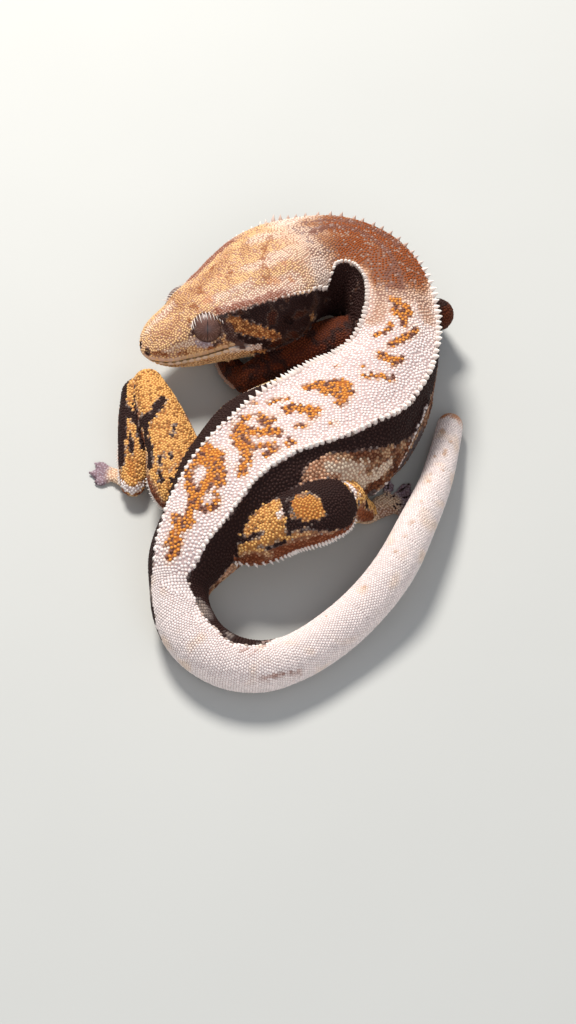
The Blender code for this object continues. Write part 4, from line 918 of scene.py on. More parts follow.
def markings(places, part, at, turn, chance):
    """Strength of each mark at points; chance is the random number of the scale there."""
    marks = {name: np.zeros(len(places)) for name in MARKS}

    def lay(strength, **colours):
        for name in MARKS:
            marks[name] = marks[name] + strength * (colours.get(name, 0.0) - marks[name])

    fine = mottle(places, 0.9, 1)
    middle = mottle(places, 2.6, 2)
    broad = mottle(places, 6.5, 3)
    degrees = np.degrees(turn)
    mirrored = np.abs(degrees)
    on_right = degrees >= 0
    left, right_size, rise, depth, square = body_sizes(at)
    width = np.where(on_right, right_size, left)
    power = 2 / np.where(np.cos(turn) >= 0, square, 2 + LOWER_SQUARENESS * (square - 2))
    across = width * np.sign(np.sin(turn)) * np.abs(np.sin(turn)) ** power
    across = np.where(mirrored > 90, np.sign(across) * (2 * width - np.abs(across)), across)

    def by_side(table):
        left_value, right_value = (smooth_values(table[:, 0], table[:, k], at) for k in (1, 2))
        return np.where(on_right, right_value, left_value)

    # How far a point lies below the edge of the pale back, in millimetres round the body
    edge = by_side(PALE_EDGE)
    crest_turn = np.degrees(np.arcsin(np.clip(edge / np.maximum(width, 0.1), 0, 1) ** (square / 2)))
    radius = (width + (rise + depth) / 2) / 2
    drop = np.where(
        mirrored < crest_turn, np.abs(across) - edge, np.radians(mirrored - crest_turn) * radius)
    drop = np.where((edge > 8.9) & (at > 126), -9.0, drop + 0.22 * fine + 0.15 * middle)
    flank = step(drop, 0.15, 0.40)
    band = by_side(BAND)
    head = step(at + 0.4 * fine, 31.0, 27.0)

    # Back
    nape = inside(at, across, NAPE) + 0.25 * fine + 0.4 * middle
    lay(0.35 * step(at, 66.0, 44.0), tan=1.0)
    rust_share = 0.15 + 0.85 * step(at + 1.5 * middle, 31.0, 38.0)
    rust_share = rust_share * (1 - 0.65 * step(at + middle, 50.0, 54.0))
    scale_share = 0.74 + 0.26 * (chance < 0.45 + step(nape, -0.2, 0.9))
    lay(step(nape, -0.6, 0.9) * rust_share * scale_share, rust=1.0, tan=1.0)
    streaks = step(inside(at, across, NAPE_STREAKS) + 0.3 * fine, -0.1, 0.4)
    lay(streaks * 0.75, rust=0.8, brown=np.where(chance < 0.7, 0.85, 0.4))
    lay((at > 31) * (at < 56) * step(nape, 0.0, 1.0) * (chance > 0.86) * 0.6, brown=0.8)
    blotch = inside(at, across, BLOTCHES) + 0.14 * fine + 0.06 * middle
    speck = mottle(places, 0.55, 4)
    lay(step(blotch, -0.9, -0.1) * 0.22, tan=1.0)
    lay(step(blotch, -0.12, 0.1), amber=1.0, tan=0.5)
    lay(step(blotch, -0.1, 0.1) * step(speck + 0.75 * chance - 0.9 * blotch, 0.28, 0.42) * 0.92, brown=1.0)

    # Flanks and belly
    lay(flank, olive=0.9, tan=0.5)
    lay(
        flank * on_right * step(mirrored, 150.0, 120.0), rust=0.8, olive=0.5,
        brown=step(middle + 0.6 * fine, -0.5, 0.3) * 0.85,
        dark=np.where(chance < 0.3, 0.7, 0.0))
    lay(flank * step(broad + 0.5 * middle, 0.1, 0.4) * step(mirrored, 150.0, 120.0) * 0.6, amber=0.8)
    cream = step(inside_turned(at, degrees, 10.0, FLANK_CREAM) + 0.4 * fine, 0.0, 0.5) * on_right
    lay(flank * cream, olive=0.9, tan=0.5, white=0.35)
    dark = step(inside_turned(at, degrees, 10.0, FLANK_DARK) + 0.5 * fine, 0.0, 0.5) * on_right
    lay(flank * dark, dark=0.9)
    lay(flank * step(band + 0.6 * middle + 0.35 * fine - drop, -0.2, 0.3), dark=1.0)
    on_trunk = step(at, 64.0, 67.0) * step(at, 90.0, 86.0)
    line = ~on_right * step(0.4 - np.abs(drop - band - 0.35), 0.0, 0.2) * on_trunk
    lay(line * 0.9, white=1.0)
    fold_edge = [(a, d * FLANK_ARC) for a, d in FLANK_FOLD_EDGE[1:]]
    fold = 1 - past_line(at, degrees * FLANK_ARC, fold_edge) / FLANK_FOLD_EDGE[0]
    lay(on_right * step(fold + 0.3 * fine, 0.0, 0.3) * 0.6, white=1.0, olive=0.5)
    on_neck = step(at, 29.0, 33.0) * step(at, 62.0, 54.0)
    rusty = step(middle + 0.6 * fine, 0.5, 1.0) * on_neck * step(drop, 1.6, 3.0)
    lay(flank * rusty, tan=1.0, rust=1.0, brown=0.8, dark=0.6)

    # Head
    lay(head, tan=1.0)
    top = head * (1 - flank)
    lay(top * 0.35 * step(middle + 0.5 * fine, 0.1, 0.9), rust=0.7, tan=1.0)
    lay(top * step(inside(at, across, HEAD_BROWN) + 0.5 * middle, -0.4, 1.0) * 0.5, rust=0.6, tan=1.0)
    # Pale patches on the head, with a painted highlight along the top of the snout
    lay(
        top * step(inside(at, across, HEAD_PALE_AND_HIGHLIGHT) + 0.5 * middle, -0.4, 1.0) * 0.8, tan=0.8, gold=0.0,
        white=0.5)
    lay(
        top * step(inside(at, across, HEAD_LINES) + 0.35 * fine, -0.1, 0.4) * (0.3 + 0.5 * (chance < 0.6)),
        rust=1.0, tan=1.0)
    lay(top * step(inside(at, across, HEAD_SPOTS) + 0.3 * fine, -0.2, 0.4) * 0.8, amber=0.9)
    lay(top * (chance > 0.88) * 0.4, rust=0.8)
    lay(
        head * step(0.9 - np.abs(drop + 0.3), 0.0, 0.5) * step(at, 11.5, 13.0) * step(at, 27.0, 22.0) * 0.8,
        rust=1.0)
    start = at - 4.0 * step(mirrored, 99.0, 105.0) + 0.5 * fine
    lay((at < 32.0) * step(start, 11.9, 12.7) * flank * step(mirrored + 8 * middle, 136.0, 122.0), dark=1.0)
    lay(
        head * step(start, 13.0, 15.0) * flank * step(middle + 0.5 * fine, 0.1, 1.0)
        * step(mirrored, 130.0, 118.0),
        tan=1.0, rust=1.0, brown=0.75, dark=0.74)
    head_patches = (
        (CHEEK_ORANGE, 9.0, {
            "amber": 0.45, "tan": 1.0, "rust": 0.4, "brown": step(speck, -0.1, 0.4) * 0.75}),
        (CHEEK_TAN, 8.0, {"tan": 1.0, "rust": 0.15, "brown": step(speck, 0.1, 0.6) * 0.6}),
        (CHEEK_PALE, 8.0, {"tan": 1.0, "white": 0.75}),
        (UNDER_EYE, 6.5, {"lilac": 0.8, "white": 0.2}),
        # Dark patch by the eye, and painted shade under the lower lid
        (EYE_PATCH_AND_SHADE, 7.0, {"rust": 0.6, "brown": 0.5, "dark": 0.75}),
        (SNOUT_PALE, 5.5, {"tan": 1.0, "white": 0.45}),
        (SNOUT_SPOTS, 5.5, {"tan": 1.0, "rust": 0.8}),
    )
    for strokes, radius_there, colours in head_patches:
        lay(
            head * step(inside_turned(at, mirrored, radius_there, strokes) + 0.3 * fine, -0.1, 0.4),
            **colours)
    lay(head * step(mirrored, 106.0, 120.0) * step(middle + 0.5 * fine, -0.3, 0.6) * 0.4, rust=0.9, tan=1.0)

    # Painted shade in and around the nostrils
    for centre in nostrils:
        nostril_shade = step(np.linalg.norm(places - centre, axis=1), *NOSTRIL_SHADE)
        lay(nostril_shade, rust=0.7, brown=0.6, dark=0.85)

    # Tail
    tail = step(at, 118.0, 121.0)
    smudge = step(inside(at, across, TAIL_SMUDGES) + 0.22 * fine, -0.15, 0.3) * tail
    lay(smudge * 0.75, rust=0.9, brown=np.where(chance < 0.3, 0.6, 0.0))
    lay(
        step(inside(at, across, TAIL_FRECKLES) + 0.15 * fine, -0.25, 0.3) * tail * (mirrored < 80) * 0.45,
        rust=0.8, tan=1.0)
    lay(step(at + 0.8 * fine, BODY_LENGTH - 3.2, BODY_LENGTH - 1.0), rust=0.9, amber=0.4)
    lay(step(middle + 0.5 * broad, 0.3, 1.2) * tail * 0.3, tan=1.0)

    # Legs and feet
    on_leg = (part > 0) & (part <= len(LEGS))
    on_foot = part > len(LEGS)
    lay(on_leg, gold=1.0, tan=0.3, brown=np.where(chance < 0.24, 0.75, 0.0))
    lay(
        on_leg * step(mirrored + 14 * middle, 62.0, 86.0) * 0.95, rust=1.0,
        brown=np.where(chance < 0.5, 0.8, 0.3))
    lay(on_leg * step(mirrored, 110.0, 140.0), tan=0.8, olive=0.6)
    lay(
        np.isin(part, FRONT_LEGS), rust=1.0, brown=0.8,
        dark=0.35 + step(middle + 0.5 * fine, -0.3, 0.4) * 0.6)
    lay(on_foot, tan=1.0, white=0.35, rust=step(middle, 0.1, 0.6) * 0.6)
    lay(on_foot * step(at, 1.4, 2.8), lilac=0.8, dark=0.25 + 0.4 * step(fine, 0.0, 0.6))
    leg_patches = (
        (LEG_DARK, {"dark": 1.0}),
        (LEG_ORANGE, {"gold": 1.0, "rust": 0.5, "amber": 0.6, "brown": 0.15}),
        (LEG_PALE, {"white": 0.85}),
    )
    for table, colours in leg_patches:
        for name, strokes in table.items():
            shown = step(inside_turned(at, degrees, 4.6, strokes) + 0.25 * fine + 0.1 * middle, -0.1, 0.25)
            lay(shown * (part == PARTS.index(name)), **colours)
    return marks


def give_fields(mesh, fields):
    """Stores values for each vertex under their names."""
    for name, values in fields.items():
        field = mesh.attributes.new(name, "FLOAT", "POINT")
        field.data.foreach_set("value", np.asarray(values, np.float32))


def give_map(mesh, places):
    """Stores the map that the bake uses, from a place for each vertex."""
    layer = mesh.uv_layers.new(name="OFBake", do_init=False)
    corners = np.empty(len(mesh.loops), np.int32)
    mesh.loops.foreach_get("vertex_index", corners)
    layer.uv.foreach_set("vector", np.asarray(places, np.float32)[corners].ravel())


# Colours of skin and scales. Painted shade darkens the foot of each scale and the skin between the scales:
# mauve over pale colours, brown over warm ones. Every scale has its own tone.
CREAM = linear(246, 232, 227)
# The dark colour also paints shade in the nostrils, along the mouth line and under the lower lid
MARK_COLOURS = (
    ("tan", linear(242, 200, 146)), ("rust", linear(152, 76, 30)), ("gold", linear(236, 182, 108)),
    ("olive", linear(198, 168, 120)), ("amber", linear(226, 150, 66)), ("brown", linear(100, 42, 14)),
    ("dark", linear(50, 29, 25)), ("lilac", linear(160, 136, 150)), ("white", linear(252, 242, 236)),
)
# Painted shade between the scales: mauve over pale colours, brown over warm ones
GROOVE_SHADE_COLOUR = linear(180, 156, 156)
WARM_GROOVE_SHADE_COLOUR = linear(164, 112, 78)
SKIN_ROUGHNESS = 0.5
# The bare skin counts as low, so it takes most of the painted groove shade
SKIN_LIFT = 0.12
MOUTH_LIFT = 0.55
GRAIN_SIZE = 2600.0
GRAIN_DEPTH = 0.00006

skin_material, skin_shader, paint = new_material("skin_and_scales", SKIN_ROUGHNESS, specular_ior_level=0.13)


def field(name):
    """The values stored for each vertex under a name, as a paint."""
    return paint.node("Attribute", {"attribute_name": name}, output=2)


colour = CREAM
for name, mark_colour in MARK_COLOURS:
    colour = field(name).blend(colour, mark_colour)
lift = field("lift")
tone = field("tone")
grain = paint.node("TexNoise", None, {"Scale": GRAIN_SIZE, "Detail": 2.0, "Roughness": 0.6})
cloud = paint.node("TexNoise", None, {"Scale": 240.0, "Detail": 3.0, "Roughness": 0.6})
warmth = field("tan") * 0.6 + field("gold") + field("rust") + field("amber") + field("brown")
groove_shade_tint = warmth.blend(GROOVE_SHADE_COLOUR, WARM_GROOVE_SHADE_COLOUR)
# Painted shade: darker towards the foot of each scale and on the skin between the scales
groove_shade = (1 - lift.between(0.0, 0.75)) * 0.8
colour = groove_shade.blend(colour, colour * groove_shade_tint)
colour = colour * (0.84 + tone * 0.2 + cloud * 0.12)
feed(
    skin_shader, base_color=colour, roughness=0.40 + grain * 0.16 + (1 - lift) * 0.12,
    normal=paint.node("Bump", None, {"Strength": 0.5, "Distance": GRAIN_DEPTH, "Height": grain}))

skin_part, skin_at, skin_turn = where_on_animal(skin_vertices)
skin_chance = np.ones(len(skin_vertices))
skin_fields = markings(skin_vertices, skin_part, skin_at, skin_turn, skin_chance)
skin_fields["lift"] = np.full(len(skin_vertices), SKIN_LIFT)
skin_fields["tone"] = 0.5 + 0.3 * mottle(skin_vertices, 1.2, 5)
give_fields(skin.data, skin_fields)
skin.data.vertices.foreach_set("co", ((skin_vertices + TO_FRAME) * MM).astype(np.float32).ravel())
skin.data.update()
skin.data.materials.clear()
skin.data.materials.append(skin_material)
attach(skin, "root")
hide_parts(*[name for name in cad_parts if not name.startswith("eye")])


def make_piece(name, points, faces, material, fields, places):
    """A finished piece from points in the drawing's millimetres."""
    points = np.array(points)
    points[:, 2] = np.maximum(points[:, 2], 0.0)
    mesh = new_mesh(name, (points + TO_FRAME) * MM, faces)
    give_fields(mesh, fields)
    give_map(mesh, places)
    mesh.shade_smooth()
    mesh.materials.append(material)
    piece = bpy.data.objects.new(name, mesh)
    bpy.context.scene.collection.objects.link(piece)
    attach(piece, "root")
    return piece


# Scales: small round granules that touch each other, in staggered rows round the tail and evenly
# spread over the head, neck, trunk, legs and feet. Each is a low dome rooted in the skin.
# Spacing from the neck on: along the body, distance between neighbours
ROW_SPACING = np.array(
    ((29.0, 0.38), (45.0, 0.45), (60.0, 0.50), (105.0, 0.53), (118.0, 0.54), (130.0, 0.50), (206.0, 0.42)))
ROWS_FROM = 119.0
ROWS_END_GAP = 0.25
ROW_PROBE = 0.2
HEAD_SPACING = 0.36
SNOUT_SPACING = 0.38
SNOUT_END = 9.0
LEG_SPACING = 0.43
FOOT_SPACING = 0.38
ROW_RATIO = 0.866
ROW_JITTER = 0.16
SCALE_SPREAD = 0.60
SCALE_SUNK = 0.10
SCALE_LEAN = 0.12
SCALE_SIDES = 6
# Rings of a scale: share of its radius, share of its height
SCALE_RINGS = ((1.0, 0.0), (0.74, 0.62))
FARTHEST_ROOT = 0.45
# Below, where the skin faces down by more than this, the scales stand wider apart
UNDERSIDE = -0.55
UNDERSIDE_WIDER = 1.5
EYE_BARE = 0.22
MOUTH_BARE = 0.95
# Painted shade in the line where the mouth closes: none beyond the first distance, all within the second
MOUTH_SHADE_REACH = (0.26, 0.10)
MOUTH_SHADE = 0.8
# Roots are chosen at least this share of the spacing apart, then pushes even them out
FIRST_CLOSENESS = 0.86
CLOSENESS = 0.53
PUSHES = (0.4, 0.4, 0.3)
NEIGHBOURS = 7
rng = np.random.default_rng(7)


def row_roots():
    """Places along and round for staggered rows, with the free length along the body at each."""
    dense_turn = np.linspace(-math.pi, math.pi, 181)
    found = []
    at = ROWS_FROM
    number = 0
    while at < BODY_LENGTH - ROWS_END_GAP:
        pair, across = body_surface(np.array([at, at + ROW_PROBE]), dense_turn[None, :], -SCALE_DEPTH)
        stretch = np.linalg.norm(pair[1] - pair[0], axis=1) / ROW_PROBE
        spacing = float(np.interp(at, ROW_SPACING[:, 0], ROW_SPACING[:, 1]))
        pace = ROW_RATIO * spacing / stretch.max()
        arc = np.concatenate([[0.0], np.cumsum(np.linalg.norm(np.diff(pair[0], axis=0), axis=1))])
        ratio = stretch / stretch.max()
        level = np.round(np.log2(1 / np.maximum(ratio, 0.05))).astype(int)
        count = max(6, round(arc[-1] / spacing))
        for skip in np.unique(level):
            if number % (2 ** skip):
                continue
            shift = 0.5 * (number // 2 ** skip % 2)
            turns = np.interp((np.arange(count) + shift + 0.25) * arc[-1] / count, arc, dense_turn)
            keep = np.interp(turns, dense_turn, level, left=0, right=0)
            keep = np.round(keep).astype(int) == skip
            length = np.interp(turns, dense_turn, ratio) * 2 ** skip
            found.append(np.stack([
                np.full(keep.sum(), at), turns[keep], np.full(keep.sum(), spacing),
                np.clip(length[keep], 0.7, 1.35)], 1))
        at += pace
        number += 1
    return np.vstack(found)


rows = row_roots()
rows[:, 0] += rng.uniform(-ROW_JITTER, ROW_JITTER, len(rows)) * rows[:, 2]
row_places = body_surface(rows[:, 0], rows[:, 1:2], -SCALE_DEPTH)[0][:, 0]


def settle(places):
    """Nearest points of the skin, the skin's direction outwards there, and how far away they were."""
    found = [surface.find_nearest(place) for place in places]
    return (
        np.array([f[0] for f in found]), np.array([f[1] for f in found]), np.array([f[3] for f in found]))


on_skin, outward, away = settle(row_places)
keep = away < FARTHEST_ROOT
rows, roots, outward = rows[keep], on_skin[keep], outward[keep]

eye_centres = [centre for centre, aim, side in eyes_at.values()]
spacing_of = np.select(
    [skin_part > len(LEGS), skin_part > 0, skin_at < SNOUT_END], [FOOT_SPACING, LEG_SPACING, SNOUT_SPACING],
    HEAD_SPACING)
spacing_of = np.where(
    (skin_part == 0) & (skin_at > ROW_SPACING[0, 0]),
    np.interp(skin_at, ROW_SPACING[:, 0], ROW_SPACING[:, 1]), spacing_of)
spacing_of = np.where(skin_normals[:, 2] < UNDERSIDE, spacing_of * UNDERSIDE_WIDER, spacing_of)
free = np.ones(len(skin_vertices), bool)
for centre in eye_centres:
    free &= np.linalg.norm(skin_vertices - centre, axis=1) > EYE_RADIUS + EYE_BARE
for centre in nostrils:
    free &= np.linalg.norm(skin_vertices - centre, axis=1) > NOSTRIL_BARE
head_centre, _, _, head_up = body_frame(np.clip(skin_at, 0.05, 30.0))
above = np.einsum("ij,ij->i", skin_vertices - head_centre, head_up)
near_mouth = (skin_part == 0) & (skin_at < MOUTH_LINE[-1, 0])
mouth_above = above + smooth_values(MOUTH_LINE[:, 0], MOUTH_LINE[:, 1], skin_at)
mouth_strip = near_mouth & (np.abs(mouth_above) < MOUTH_BARE)
free &= ~mouth_strip
# The bare strip along the mouth takes little of the painted groove shade, so it is as pale as the scales
# beside it, with painted shade as a dark line where the mouth closes
mouth_shade = near_mouth * step(np.abs(mouth_above), *MOUTH_SHADE_REACH)
skin.data.attributes["lift"].data.foreach_set(
    "value", np.where(mouth_strip, MOUTH_LIFT, SKIN_LIFT).astype(np.float32))
skin.data.attributes["dark"].data.foreach_set(
    "value", np.maximum(skin_fields["dark"], MOUTH_SHADE * mouth_shade).astype(np.float32))


def scatter(candidates, spacing, taken, taken_spacing):
    """Chooses candidates that keep their spacing from each other and from those taken before."""
    cell = 0.7
    grid = {}
    chosen = []

    def put(place, room):
        key = (int(place[0] // cell), int(place[1] // cell), int(place[2] // cell))
        grid.setdefault(key, []).append((place[0], place[1], place[2], room))

    for place, room in zip(taken.tolist(), taken_spacing.tolist()):
        put(place, room)
    for index, (place, room) in enumerate(zip(candidates.tolist(), spacing.tolist())):
        x, y, z = place
        cx, cy, cz = int(x // cell), int(y // cell), int(z // cell)
        clear = all(
            (x - ox) ** 2 + (y - oy) ** 2 + (z - oz) ** 2 >= (0.5 * (room + other)) ** 2
            for i in (cx - 1, cx, cx + 1) for j in (cy - 1, cy, cy + 1) for k in (cz - 1, cz, cz + 1)
            for ox, oy, oz, other in grid.get((i, j, k), ()))
        if clear:
            chosen.append(index)
            put(place, room)
    return np.array(chosen)


order = rng.permutation(np.flatnonzero(free))
chosen = order[scatter(
    skin_vertices[order], spacing_of[order] * FIRST_CLOSENESS, roots, rows[:, 2] * FIRST_CLOSENESS)]
spread_roots = skin_vertices[chosen]
spread_spacing = spacing_of[chosen]
everything = np.vstack([spread_roots, roots])
every_spacing = np.concatenate([spread_spacing, rows[:, 2]])
movable = len(spread_roots)
for strength in PUSHES:
    tree = tree_of(everything)
    near = [tree.find_n(place, NEIGHBOURS)[1:] for place in everything]
    index = np.array([[found[1] for found in row] for row in near])
    distance = np.array([[found[2] for found in row] for row in near])
    apart = everything[:, None] - everything[index]
    need = CLOSENESS * (every_spacing[:, None] + every_spacing[index]) - distance
    push = apart / (distance + 1e-6)[..., None] * (np.clip(need, 0, None) * strength)[..., None]
    everything, every_outward, away = settle(everything + push.sum(1))
spread_roots, spread_out = everything[:movable], every_outward[:movable]
roots, outward = everything[movable:], every_outward[movable:]
spread_part, spread_at, spread_turn = where_on_animal(spread_roots)

all_roots = np.vstack([roots, spread_roots])
all_outward = np.vstack([outward, spread_out])
all_part = np.concatenate([np.zeros(len(rows), int), spread_part])
all_at = np.concatenate([rows[:, 0], spread_at])
all_turn = np.concatenate([rows[:, 1], spread_turn])
all_spacing = np.concatenate([rows[:, 2], spread_spacing])
all_length = np.concatenate([rows[:, 3], np.ones(movable)])
all_chance = rng.random(len(all_roots))
all_tone = rng.random(len(all_roots))


def directions_at(part, at):
    """Direction towards the tail, foot or toe tip of the part that carries each point."""
    direction = body_frame(np.clip(at, 0.05, BODY_LENGTH - 0.05))[1]
    for index, name in enumerate(PARTS):
        mine = part == index
        if name in LEGS and mine.any():
            dense, along, stations = smooth_line(np.array(LEGS[name])[:, :3])
            direction[mine] = frames_along(dense, along, np.clip(at[mine], 0.6, along[-1] - 0.6))[0]
        if name in FEET and mine.any():
            heel, middle = FEET[name][:2]
            reach = np.array([middle[0] - heel[0], middle[1] - heel[1], 0.0])
            direction[mine] = reach / np.linalg.norm(reach)
    return direction


def lie_of(outward, direction):
    """Unit directions along and across a surface."""
    along = direction - outward * np.einsum("ij,ij->i", direction, outward)[:, None]
    along /= np.linalg.norm(along, axis=1)[:, None] + 1e-9
    return along, np.cross(outward, along)


def domes(
        roots, outward, along, across, half_length, half_width, height, sides=SCALE_SIDES, lean=SCALE_LEAN):
    """Points and triangles of low domes on the skin, and each point's share of the height."""
    turn = (np.arange(sides) + 0.5) * 2 * math.pi / sides
    points = []
    lifts = []
    for share, rise in SCALE_RINGS:
        level = -SCALE_SUNK * (rise == 0) + rise * height
        ring = (roots[:, None] + outward[:, None] * np.broadcast_to(level, len(roots))[:, None, None]
                + along[:, None] * (half_length[:, None] * (share * np.cos(turn) + lean * rise))[..., None]
                + across[:, None] * (half_width[:, None] * share * np.sin(turn))[..., None])
        points.append(ring)
        lifts.append(np.full((len(roots), sides), rise))
    top = roots + outward * height[:, None] + along * (half_length * lean)[:, None]
    points = np.concatenate([*points, top[:, None]], 1)
    lifts = np.concatenate([*lifts, np.ones((len(roots), 1))], 1)
    ring = np.arange(sides)
    after = (ring + 1) % sides
    faces = []
    for level in range(len(SCALE_RINGS) - 1):
        low, high = level * sides, (level + 1) * sides
        faces.append(np.stack([low + ring, low + after, high + after], 1))
        faces.append(np.stack([low + ring, high + after, high + ring], 1))
    last = (len(SCALE_RINGS) - 1) * sides
    faces.append(np.stack([last + ring, last + after, np.full(sides, len(SCALE_RINGS) * sides)], 1))
    faces = np.vstack(faces)
    count = len(SCALE_RINGS) * sides + 1
    faces = (faces[None] + np.arange(len(roots))[:, None, None] * count).reshape(-1, 3)
    return points, lifts, faces


PATCH = 0.0015
MAP_EDGE = 0.01
MAP_SPAN = 0.98
SCALE_HEIGHT = 0.26
SCALE_HEIGHT_SPREAD = 0.10
FOOT_SCALE_HEIGHT = 0.2
all_along, all_across = lie_of(all_outward, directions_at(all_part, all_at))
all_marks = markings(all_roots, all_part, all_at, all_turn, all_chance)
scale_height = all_spacing * (SCALE_HEIGHT + SCALE_HEIGHT_SPREAD * all_tone)
scale_height = np.where(all_part > len(LEGS), all_spacing * FOOT_SCALE_HEIGHT, scale_height)


def scale_piece(name, mine, places):
    """Joins some of the scales into one piece."""
    size = all_spacing[mine] * SCALE_SPREAD
    points, lifts, faces = domes(
        all_roots[mine], all_outward[mine], all_along[mine], all_across[mine],
        size * all_length[mine], size, scale_height[mine])
    count = points.shape[1]
    fields = {mark: np.repeat(values[mine], count) for mark, values in all_marks.items()}
    fields["lift"] = lifts.ravel()
    fields["tone"] = np.repeat(all_tone[mine], count)
    offset = np.zeros((count, 2))
    for k in range(count - 1):
        angle = (k % SCALE_SIDES + 0.5) * 2 * math.pi / SCALE_SIDES
        share = SCALE_RINGS[k // SCALE_SIDES][0]
        offset[k] = PATCH * share * math.cos(angle), PATCH * share * math.sin(angle)
    spots = (places[:, None] + offset[None]).reshape(-1, 2)
    return make_piece(name, points.reshape(-1, 3), faces, skin_material, fields, spots)


def body_spots(mine):
    """Places on the map for a stretch of the body: length one way, turn the other."""
    at, turn = all_at[mine], all_turn[mine]
    return MAP_EDGE + MAP_SPAN * np.stack(
        [(at - at.min()) / np.ptp(at), (turn + math.pi) / (2 * math.pi)], 1)


def limb_spots(mine):
    """Places on the map for limbs, each in its own strip."""
    parts = sorted(set(all_part[mine].tolist()))
    spots = np.empty((len(mine), 2))
    for column, index in enumerate(parts):
        here = all_part[mine] == index
        at = all_at[mine][here]
        low, span = at.min(), max(np.ptp(at), 0.1)
        spots[here, 0] = (column + 0.03 + 0.94 * (at - low) / span) / len(parts)
        spots[here, 1] = MAP_EDGE + MAP_SPAN * (all_turn[mine][here] + math.pi) / (2 * math.pi)
    return spots


BODY_STRETCHES = (
    ("scales_head_front", "head_skin", -1.0, 17.0), ("scales_head_rear", "head_skin", 17.0, 31.0),
    ("scales_neck", "body_skin", 31.0, 64.0), ("scales_trunk", "body_skin", 64.0, 92.0),
    ("scales_rump", "body_skin", 92.0, 122.0), ("scales_tail_front", "body_skin", 122.0, 160.0),
    ("scales_tail_rear", "body_skin", 160.0, 300.0),
)
for name, slot, start, end in BODY_STRETCHES:
    mine = np.flatnonzero((all_part == 0) & (all_at >= start) & (all_at < end))
    scale_piece(name, mine, body_spots(mine))
LIMB_GROUPS = (
    ("scales_hind_left", [name for name in LEGS if name.startswith("hind_left")]),
    ("scales_hind_right", [name for name in LEGS if name.startswith("hind_right")]),
    ("scales_forelegs", [name for name in LEGS if name.startswith("fore")]),
    ("scales_feet", list(FEET)),
)
for name, group in LIMB_GROUPS:
    mine = np.flatnonzero(np.isin(all_part, [PARTS.index(part) for part in group]))
    scale_piece(name, mine, limb_spots(mine))


# Eyes: two softly shining balls under clear skin, with a thin upright slit for a pupil and fine
# pale veins running out from it over a grey-brown iris. They sit in sockets of the skin.
PUPIL_HALF_WIDTH = 0.06
EYE_LEAN = 0.25
EYE_SIDES = 96
EYE_RINGS = 72
PUPIL_HALF_HEIGHT = 0.80
PUPIL_END = 0.1
IRIS_INNER = linear(92, 58, 50)
IRIS_OUTER = linear(40, 24, 24)
VEIN_COLOUR = linear(176, 138, 122)
VEIN_STRENGTH = 0.55
PUPIL_COLOUR = linear(6, 5, 6)
eye_material, eye_shader, paint = new_material(
    "eye", 0.42, specular_ior_level=0.35, coat_weight=0.12, coat_roughness=0.2)
turned = field("eye_turn")
out_from_pupil = field("eye_out")
veins = paint.node(
    "TexNoise", {"noise_dimensions": "2D"},
    {"Vector": paint.node("CombineXYZ", None, {"X": turned * 9.0, "Y": out_from_pupil * 1.2}),
     "Scale": 3.0, "Detail": 4.0, "Roughness": 0.65, "Distortion": 0.6})
vein = veins.between(0.48, 0.62) * out_from_pupil.between(0.05, 0.25)
iris = out_from_pupil.between(0.1, 0.95).blend(IRIS_INNER, IRIS_OUTER)
iris = (vein * VEIN_STRENGTH).blend(iris, VEIN_COLOUR)
iris = field("eye_pupil").blend(iris, PUPIL_COLOUR)
feed(eye_shader, base_color=iris)


def across_aims(vector, *aims):
    """What is left of a direction across the aims, at length 1."""
    left_over = vector
    for aim in aims:
        left_over = left_over - aim * np.dot(vector, aim)
    return left_over / np.linalg.norm(left_over)


for word, (centre, aim, side) in eyes_at.items():
    upward = across_aims(head_vector(EYE_LEAN, 0, 1, side), aim)
    beside = np.cross(aim, upward)
    rings = ball_rings(centre, (EYE_RADIUS, EYE_RADIUS, EYE_RADIUS), aim, EYE_SIDES, EYE_RINGS)
    points, faces = closed_tubes([rings])
    local = (points - centre) / EYE_RADIUS
    x, y, z = local @ beside, local @ upward, local @ aim
    spread = np.arccos(np.clip(z, -1, 1)) / (0.5 * math.pi)
    slit_width = PUPIL_HALF_WIDTH * np.sqrt(np.clip(1 - (y / PUPIL_HALF_HEIGHT) ** 2, 0.02, 1))
    within_ends = step(np.abs(y), PUPIL_HALF_HEIGHT, PUPIL_HALF_HEIGHT - PUPIL_END)
    pupil = step(np.abs(x) * EYE_RADIUS / slit_width, 1.5, 0.6) * (z > 0) * within_ends
    fields = {"eye_turn": np.abs(np.arctan2(x, y)), "eye_out": spread, "eye_pupil": pupil}
    spots = 0.5 + 0.24 * spread[:, None] * np.stack([x, y], 1) / (np.hypot(x, y)[:, None] + 1e-6)
    eye = make_piece("eyeball_" + word, points, faces, eye_material, fields, spots)
    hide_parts("eye_" + word)


# Crest spines: pale pointed scales that stand in a row on each crest. They are longest over the
# shoulders and the trunk, and shorten to beads on the head and the rump.
CREST_START = 12.6
CREST_STAGGER = 0.3
CREST_END = 118.0
CREST_SPACING = 1.02
CREST_JITTER = 0.12
CREST_MAP_LENGTH = 120.0
# Along the body and the length of the spines there
SPINE_LENGTHS = np.array((
    (12.0, 0.18), (24.0, 0.22), (27.0, 0.4), (30.3, 1.2), (32.5, 0.7), (43.0, 0.8), (50.0, 1.2),
    (60.0, 1.3), (80.0, 1.1), (88.0, 0.85), (95.0, 0.5), (118.0, 0.4)))
SPINE_WIDTHS = np.array((
    (12.0, 0.18), (27.0, 0.24), (30.3, 0.42), (33.0, 0.34), (45.0, 0.38), (52.0, 0.50), (60.0, 0.56),
    (95.0, 0.50), (118.0, 0.40)))
SPINE_SIDES = 8
